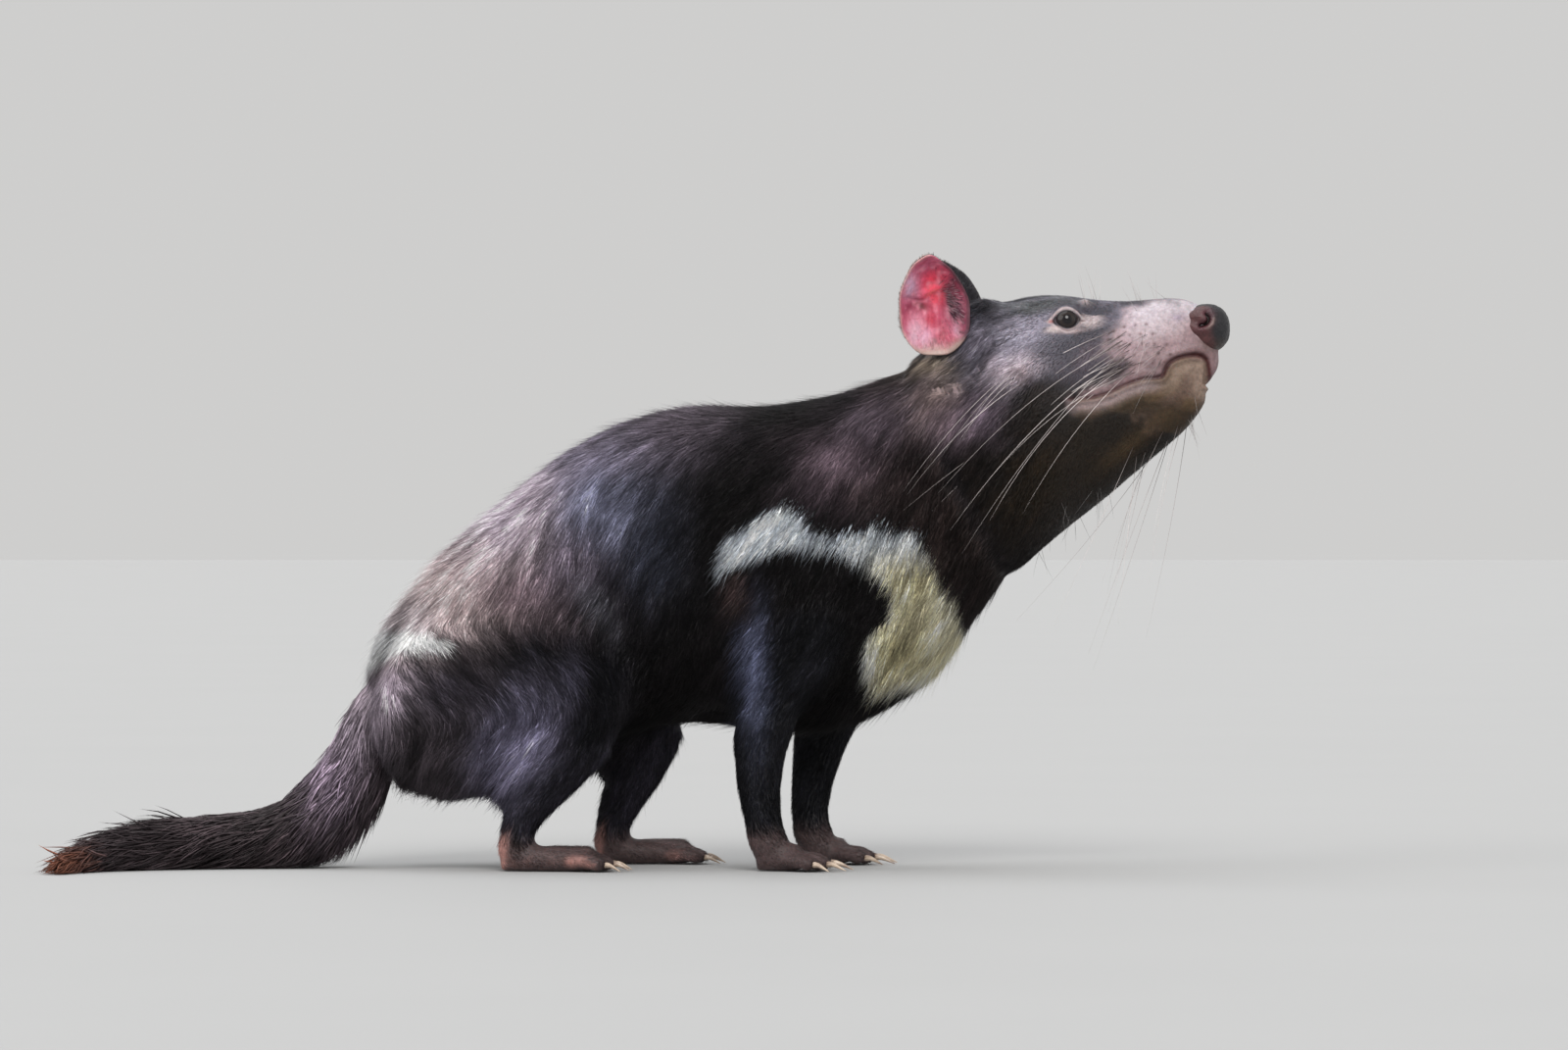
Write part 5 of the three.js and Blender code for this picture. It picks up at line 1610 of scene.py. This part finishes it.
def make_nose(material):
    """The nose pad, with its nostrils, the groove down its front and its pebbled skin."""
    forms = [squared(NOSE_CENTRE, NOSE_SIZE, NOSE_SQUARENESS)]
    (x, y, z), size = NOSE_WING
    forms += [ellipsoid((x, side * y, z), size, 40, 24) for side in SIDES.values()]
    vertices, faces, _ = joined([(to_frame(turned(v)), f, 0) for v, f in forms])
    nose = new_object("nose_pad", vertices, faces)
    remeshed(nose, NOSE_VOXEL)
    mesh = nose.data
    mesh.materials.append(material)
    co = Surface(mesh).smoothed(coordinates(mesh), NOSE_ROUNDS)
    set_coordinates(mesh, co)
    part, normal = to_part(co), normals_of(mesh)
    straight = straightened(part)
    x, y, z = straight.T
    on_side = smooth(4.5, 8.0, np.abs(y))
    slit, furrow = (away_from(path, straight, NOSTRIL_STEPS) for path in (NOSTRIL, NOSTRIL_FURROW))
    hollow = 3.2 * bell(slit, 1.2) + 1.3 * bell(furrow, 2.4)
    rim = 0.45 * bell(slit, 1.0, 2.7) * smooth(298, 301, x)
    groove = 1.2 * bell(y, 0.7) * smooth(304, 307, x)
    pebble = value_noise(part, 1.3, 6) * 0.12 + value_noise(part, 5, 3) * 0.2
    part = part + normal * (on_side * (rim - hollow) - groove + pebble)[:, None]
    set_coordinates(mesh, to_frame(part))
    shade_smooth(mesh)
    colour = np.tile(np.array(NOSE_BLACK), (len(co), 1))
    colour = over(colour, NOSE_BROWN, smooth(303.5, 294.5, z) * 0.8)
    colour = over(colour, NOSE_RED, smooth(305, 299, x + 0.2 * (z - 308.5)) * on_side * 0.85)
    colour = over(colour, NOSE_PLUM, bell(slit, 3.2) * on_side * 0.8)
    # The nostril's curled rim is painted paler: partly its own pale skin, partly a painted highlight
    pale = bell(slit, 0.9, 2.6) * smooth(299, 302, x) * on_side
    colour = over(colour, NOSTRIL_RIM_AND_HIGHLIGHT, pale * 0.4 * smooth(314.5, 310.5, z))
    colour = over(colour, NOSTRIL_BLACK, smooth(1.5, 0.6, slit) * on_side)
    colour = over(colour, MUZZLE_PINK, smooth(291, 287.5, x) * 0.6)
    colour = colour * (1 + 0.3 * value_noise(part, 1.1, 9))[:, None]
    colour_attribute(mesh, "coat", np.clip(colour, DARKEST, 1))
    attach(nose, "root")
    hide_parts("nose")


# Eyes

PUPIL = (0.006, 0.005, 0.006)
IRIS = (0.017, 0.012, 0.011)
EYE_CORNER = (0.045, 0.028, 0.028)
CORNEA = 0.35
CORNEA_SPAN = 0.55
EYE_INSET = 0.15


def make_eye(name, side, material):
    """An eyeball with its cornea, pupil and dark iris."""
    outward, _, _ = eye_axes(side)
    vertices, faces = ellipsoid((0, 0, 0), (1, 1, 1), 64, 40)
    angle = np.arccos(np.clip(-vertices[:, 0], -1, 1))
    axis = Vector((-1, 0, 0)).rotation_difference(Vector(outward)).to_matrix()
    bulge = EYE_RADIUS + CORNEA * bell(angle, CORNEA_SPAN) - EYE_INSET
    placed = EYES[name] + (vertices @ np.array(axis).T) * bulge[:, None]
    eye = new_object(f"eyeball_{name}", to_frame(turned(placed)), faces, material)
    arc = angle * EYE_RADIUS
    colour = np.tile(np.array(PUPIL), (len(placed), 1))
    colour = over(colour, IRIS, smooth(2.4, 3.2, arc) * (1 - smooth(4.6, 5.4, arc)))
    colour = over(colour, EYE_CORNER, smooth(6.2, 7.4, arc) * 0.8)
    colour_attribute(eye.data, "coat", colour)
    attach(eye, "root")
    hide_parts(f"eye_{name}")


# Claws

CLAW_NODES = [f"foreclaw_{side}_{i}" for side in SIDES for i in range(1, 6)]
CLAW_NODES += [f"hindclaw_{side}_{i}" for side in SIDES for i in range(1, 5)]


def make_claws(material):
    """The solids' claws, with their edges rounded."""
    for node in CLAW_NODES:
        vertices, _, faces = node_shape(node)
        claw = new_object(f"horn_{node}", vertices, faces, material)
        claw.modifiers.new("rounding", "SUBSURF").levels = 2
        apply_modifiers(claw)
        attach(claw, "root")
        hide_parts(node)


# Whiskers

# Each kind: [roots in photo pixels, their distance from the middle plane, heading, shortest and longest,
# droop, count, spread of the heading, how pale]
WHISKERS = [
    ([(1140, 345), (1150, 356), (1160, 366), (1152, 375)], 19, (-0.80, 0.42, -0.42), (75, 135), 0.30, 26,
     0.10, 1.0),
    ([(1170, 345), (1185, 356), (1180, 368)], 16, (-0.45, 0.80, -0.35), (18, 36), 0.15, 14, 0.2, 0.5),
    ([(1045, 379), (1040, 384), (1050, 385)], 37, (-0.75, 0.45, -0.50), (48, 88), 0.30, 6, 0.09, 0.8),
    ([(1106, 306), (1112, 303)], 20, (-0.35, 0.30, 0.80), (16, 32), 0.0, 5, 0.22, 0.6),
    ([(1162, 312), (1180, 306)], 7, (-0.45, 0.15, 0.85), (12, 24), 0.0, 5, 0.25, 0.6),
    ([(1228, 420), (1208, 436), (1188, 450), (1168, 462)], 7, (-0.35, 0.12, -0.93), (60, 128), 0.10, 12,
     0.16, 0.7),
    ([(1236, 398), (1230, 412), (1215, 425)], 6, (0.35, 0.25, -0.85), (9, 22), 0.1, 16, 0.3, 0.35),
    ([(1120, 500), (1090, 525), (1060, 560)], 6, (0.05, 0.10, -0.98), (9, 20), 0.1, 14, 0.3, 0.12),
]
WHISKER_SIDES = 5
WHISKER_RINGS = 14
WHISKER_RADIUS = 0.155
WHISKER_DARK = (0.06, 0.04, 0.035)
WHISKER_PALE = (0.70, 0.63, 0.62)
ROOT_SPREAD = 5
ROOT_SINK = 0.8
# The longest kinds also swing away from the head
SWING = 0.25
SWING_LENGTH = 60
SWING_DROOP = 0.2


def whisker_root(tree, pixel, out, side):
    """Place on the skin that shows at a photo pixel, out millimetres from the middle plane, or none."""
    x, z = straight_xz(pixel, out)
    start = turned(np.array([[x, side * (out + 40), z]]))[0]
    inner = turned(np.array([[x, 0.0, z]]))[0]
    hit = tree.ray_cast(Vector(to_frame(start)), Vector(unit(inner - start)))[0]
    return None if hit is None else to_part(np.array(hit))


def make_whiskers(skin, material):
    """All whiskers as one object, each rooted where a ray from the side meets the skin."""
    tree = BVHTree.FromObject(skin, bpy.context.evaluated_depsgraph_get())
    local = np.random.default_rng(5)
    steps = np.linspace(0, 1, WHISKER_RINGS)
    fade = np.append(np.repeat(smooth(0.0, 0.35, steps), WHISKER_SIDES), [0, 1])
    vertices, faces, colours = [], [], []
    for kind, side in itertools.product(WHISKERS, SIDES.values()):
        roots, out, aim, lengths, droop, count, spread, tone = kind
        swing = SWING * (lengths[0] > SWING_LENGTH) * (droop > SWING_DROOP)
        for i in range(count):
            pixel = np.array(roots[i % len(roots)]) + local.normal(0, ROOT_SPREAD, 2)
            root = whisker_root(tree, pixel, out, side)
            if root is None:
                continue
            heading = mirrored(unit(np.array(aim) + local.normal(0, spread, 3)), side)
            heading = swung(heading[None], HEAD_TURN)[0]
            length = local.uniform(*lengths)
            sway = local.normal(0, 0.05, 3)
            path = root + np.outer(steps, heading) * length - heading * ROOT_SINK
            path = path + np.outer(steps**2, sway) * length
            path[:, 2] -= droop * length * steps**2
            path[:, 1] -= side * swing * length * steps**2
            tangents = unit(np.gradient(path, axis=0))
            thick = WHISKER_RADIUS * (0.6 + 0.4 * length / 120)
            ring, rows = tube(path, tangents, thick * (1 - steps**1.4 * 0.86), WHISKER_SIDES)
            offset = sum(len(v) for v in vertices)
            vertices.append(ring)
            faces += [tuple(j + offset for j in row) for row in rows]
            dark = np.array(WHISKER_DARK) * tone
            pale = np.array(WHISKER_PALE) * tone * local.uniform(0.7, 1.3)
            colours.append(dark + np.outer(fade, pale - dark))
    whiskers = new_object("whiskers", to_frame(np.vstack(vertices)), faces, material)
    colour_attribute(whiskers.data, "coat", np.vstack(colours))
    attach(whiskers, "root")


# Materials

# Between these the noise has nearly all its values
NOISE_SPAN = (0.3, 0.7)


class Nodes:
    """Small helper that builds a material's nodes."""

    def __init__(self, name):
        self.material = bpy.data.materials.new(name)
        self.material.use_nodes = True
        self.tree = self.material.node_tree
        self.tree.nodes.clear()
        output = self.tree.nodes.new("ShaderNodeOutputMaterial")
        self.shader = self.tree.nodes.new("ShaderNodeBsdfPrincipled")
        self.link(self.shader.outputs[0], output.inputs["Surface"])

    def link(self, a, b):
        self.tree.links.new(a, b)

    def node(self, kind, **values):
        made = self.tree.nodes.new("ShaderNode" + kind)
        for key, value in values.items():
            setattr(made, key, value)
        return made

    def noise(self, scale, detail=3.0, roughness=0.55, distortion=0.0):
        made = self.node("TexNoise")
        numbers = {"Scale": scale, "Detail": detail, "Roughness": roughness, "Distortion": distortion}
        for socket, number in numbers.items():
            made.inputs[socket].default_value = number
        self.link(self.place(), made.inputs["Vector"])
        return made.outputs["Fac"]

    def cells(self, scale):
        made = self.node("TexVoronoi", feature="F1")
        made.inputs["Scale"].default_value = scale
        self.link(self.place(), made.inputs["Vector"])
        return made.outputs["Distance"]

    def place(self):
        return self.node("TexCoord").outputs["Object"]

    def span(self, value, low, high, to_low, to_high):
        made = self.node("MapRange")
        numbers = {"From Min": low, "From Max": high, "To Min": to_low, "To Max": to_high}
        for socket, number in numbers.items():
            made.inputs[socket].default_value = number
        self.link(value, made.inputs["Value"])
        return made.outputs["Result"]

    def varied(self, low, high, *noise):
        """A number that varies from low to high over the surface."""
        return self.span(self.noise(*noise), *NOISE_SPAN, low, high)

    def known_colour(self, low, high, *noise):
        """The colours known at the vertices, made darker and lighter by noise."""
        tone = self.varied(low, high, *noise)
        known = self.node("Attribute", attribute_name="coat").outputs["Color"]
        made = self.node("VectorMath", operation="SCALE")
        self.link(known, made.inputs[0])
        self.link(tone, made.inputs["Scale"])
        return made.outputs["Vector"]

    def mixed(self, a, b, value):
        made = self.node("Mix", data_type="RGBA")
        made.inputs[6].default_value = (*a, 1)
        made.inputs[7].default_value = (*b, 1)
        self.link(value, made.inputs[0])
        return made.outputs[2]

    def bump(self, height, strength, distance, after=None):
        made = self.node("Bump")
        made.inputs["Strength"].default_value = strength
        made.inputs["Distance"].default_value = distance
        self.link(height, made.inputs["Height"])
        if after:
            self.link(after, made.inputs["Normal"])
        return made.outputs["Normal"]

    def finish(self, colour, roughness, normal=None, **fixed):
        """The material, given sockets or a plain number for its main values, and numbers for others."""
        for socket, item in (("Base Color", colour), ("Roughness", roughness), ("Normal", normal)):
            if isinstance(item, float):
                self.shader.inputs[socket].default_value = item
            elif item is not None:
                self.link(item, self.shader.inputs[socket])
        for key, value in fixed.items():
            self.shader.inputs[key].default_value = value
        return self.material


def skin_material():
    m = Nodes("skin")
    colour = m.known_colour(0.70, 1.22, 420, 5, 0.65)
    pores = m.bump(m.cells(900), 0.25, 0.0004)
    lines = m.bump(m.noise(260, 5, 0.6, 0.4), 0.35, 0.0008, pores)
    return m.finish(colour, m.varied(0.48, 0.66, 150), lines, **{
        "Subsurface Weight": 0.12, "Subsurface Scale": 0.004, "Specular IOR Level": 0.22,
    })


def coat_material():
    m = Nodes("coat")
    colour = m.known_colour(0.78, 1.22, 700, 2)
    rough = m.varied(0.42, 0.60, 300)
    strands = m.bump(m.noise(1600, 2), 0.25, 0.0003)
    return m.finish(colour, rough, strands, **{"Specular IOR Level": 0.20})


def ear_material():
    m = Nodes("ear_skin")
    colour = m.known_colour(0.80, 1.18, 500, 5, 0.65)
    fine = m.bump(m.noise(1300, 4), 0.3, 0.0004)
    folds = m.bump(m.noise(240, 4, 0.6, 0.8), 0.45, 0.0010, fine)
    return m.finish(colour, m.varied(0.34, 0.56, 320), folds, **{
        "Subsurface Weight": 0.10, "Subsurface Scale": 0.002,
    })


def nose_material():
    m = Nodes("nose_pad")
    colour = m.known_colour(0.8, 1.2, 900, 3)
    pebbles = m.bump(m.cells(1400), 0.5, 0.0005)
    rough = m.span(m.cells(1400), 0.0, 0.7, 0.26, 0.46)
    return m.finish(colour, rough, pebbles, **{"Specular IOR Level": 0.38})


def eye_material():
    m = Nodes("eye")
    return m.finish(m.known_colour(0.75, 1.25, 1400, 3), m.varied(0.05, 0.09, 200), IOR=1.36)


def claw_material():
    m = Nodes("claw")
    along = m.mixed((0.20, 0.135, 0.10), (0.44, 0.35, 0.27), m.span(m.noise(180, 3), 0.35, 0.65, 0, 1))
    fibre = m.bump(m.noise(900, 4), 0.3, 0.0004)
    return m.finish(along, m.varied(0.30, 0.46, 400), fibre, **{"Coat Weight": 0.2, "Coat Roughness": 0.25})


def whisker_material():
    m = Nodes("whisker")
    return m.finish(m.known_colour(0.85, 1.15, 260, 2), m.varied(0.3, 0.42, 500))


def floor_material():
    m = Nodes("floor")
    tone = m.mixed((0.345, 0.347, 0.349), (0.360, 0.362, 0.364), m.noise(3, 4))
    return m.finish(tone, 0.7, m.bump(m.noise(900, 2), 0.08, 0.0005))


# Stage

FLOOR_RADIUS = 40.0
FLOOR_SIDES = 96
WORLD_COLOUR = (1.0, 0.995, 0.985, 1)
WORLD_STRENGTH = 0.62
# Each light: [name, direction to it, strength, how wide it is in degrees, colour]
LIGHTS = [
    ("key", (0.10, -0.80, 0.62), 2.60, 30, (1.0, 0.985, 0.96)),
    ("top", (-0.35, 0.20, 0.92), 1.50, 60, (0.97, 0.985, 1.0)),
    ("front", (0.92, -0.30, 0.30), 0.25, 50, (1.0, 0.99, 0.97)),
    ("rear", (-0.78, -0.42, 0.46), 1.10, 45, (1.0, 0.985, 0.97)),
]


def soft_sun(name, direction, strength, spread, colour):
    """Even light from a wide patch of the studio, given as the direction to it."""
    data = bpy.data.lights.new(name, "SUN")
    data.energy = strength
    data.angle = math.radians(spread)
    data.color = colour
    light = bpy.data.objects.new(name, data)
    light.rotation_euler = Vector(direction).to_track_quat("Z", "Y").to_euler()
    light.location = Vector(direction).normalized() * 3
    bpy.context.scene.collection.objects.link(light)


def make_stage():
    angles = np.linspace(0, 2 * np.pi, FLOOR_SIDES, endpoint=False)
    rim = [(FLOOR_RADIUS * math.cos(a), FLOOR_RADIUS * math.sin(a), 0.0) for a in angles]
    floor = new_object("floor", rim, [tuple(range(FLOOR_SIDES))], floor_material())
    world = bpy.data.worlds.new("studio")
    world.use_nodes = True
    background = world.node_tree.nodes["Background"]
    background.inputs["Color"].default_value = WORLD_COLOUR
    background.inputs["Strength"].default_value = WORLD_STRENGTH
    bpy.context.scene.world = world
    bpy.context.scene.view_settings.view_transform = "Standard"
    for name, direction, strength, spread, colour in LIGHTS:
        soft_sun(name, direction, strength, spread, colour)


def make_camera():
    """A camera that sees the animal at the photo's angle and framing."""
    x = (PHOTO_MIDDLE[0] - PHOTO_ORIGIN[0]) * PHOTO_SCALE
    z = (PHOTO_ORIGIN[1] - PHOTO_MIDDLE[1]) * PHOTO_SCALE
    place = to_frame([x, 0, z])
    data = bpy.data.cameras.new("camera")
    data.sensor_width = 36
    data.lens = data.sensor_width * CAMERA_DISTANCE / (PHOTO_WIDTH * PHOTO_SCALE)
    data.clip_end = 50
    camera = bpy.data.objects.new("camera", data)
    camera.location = (place[0], place[1] - CAMERA_DISTANCE * MM, place[2])
    camera.rotation_euler = (math.pi / 2, 0, 0)
    bpy.context.scene.collection.objects.link(camera)
    bpy.context.scene.camera = camera


# Whole model

DEPTH_ROUNDS = 10
NORMAL_ROUNDS = 3
FACE_START_X = 190
SOLE_HEIGHT = 0.25


def finished_skin():
    """The skin, sunk in by the coat's depth, with the face modelled and the soles on the floor."""
    skin, flesh = make_skin()
    mesh = skin.data
    weights = region_weights(mesh, *flesh, REGION_ROUNDS[1])
    surface = Surface(mesh)
    normal = normals_of(mesh)
    depth = surface.smoothed(weights @ COAT_TABLE[:, 4], DEPTH_ROUNDS)
    ahead = straightened(to_part(coordinates(mesh)))[:, 0]
    depth = depth * (1 - 0.7 * smooth(222, 250, ahead))
    co = to_part(coordinates(mesh)) - unit(surface.smoothed(normal, NORMAL_ROUNDS)) * depth[:, None]
    straight = straightened(co)
    on_head = straight[:, 0] > FACE_START_X
    outward = swung(normal, -head_swing(straight))
    straight[on_head] = sculpt_face(straight[on_head], outward[on_head])
    co = turned(clear_of_ears(straight))
    co[:, 2] = np.maximum(co[:, 2], SOLE_HEIGHT)
    set_coordinates(mesh, to_frame(co))
    shade_smooth(mesh)
    mesh.update()
    return skin, weights


def main():
    make_stage()
    make_camera()
    skin, weights = finished_skin()
    fields = Fields(skin.data, weights)
    # The skin is painted a quarter darker than the coat above it, as painted shade under the fur, and keeps full
    # colour on the bare muzzle
    colour_attribute(skin.data, "coat", fields.colour * (0.75 + 0.25 * fields.muzzle)[:, None])
    skin.data.materials.append(skin_material())
    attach(skin, "root")
    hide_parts(*TRUNK_NODES, *LIMB_NODES, *TAIL_NODES)
    fur = coat_material()
    make_coat(skin, fields, fur)
    ear_skin, eye_finish = ear_material(), eye_material()
    for name, side in SIDES.items():
        make_ear(f"ear_cup_{name}", side, ear_skin, fur)
        make_eye(name, side, eye_finish)
    make_nose(nose_material())
    make_claws(claw_material())
    make_whiskers(skin, whisker_material())


main()
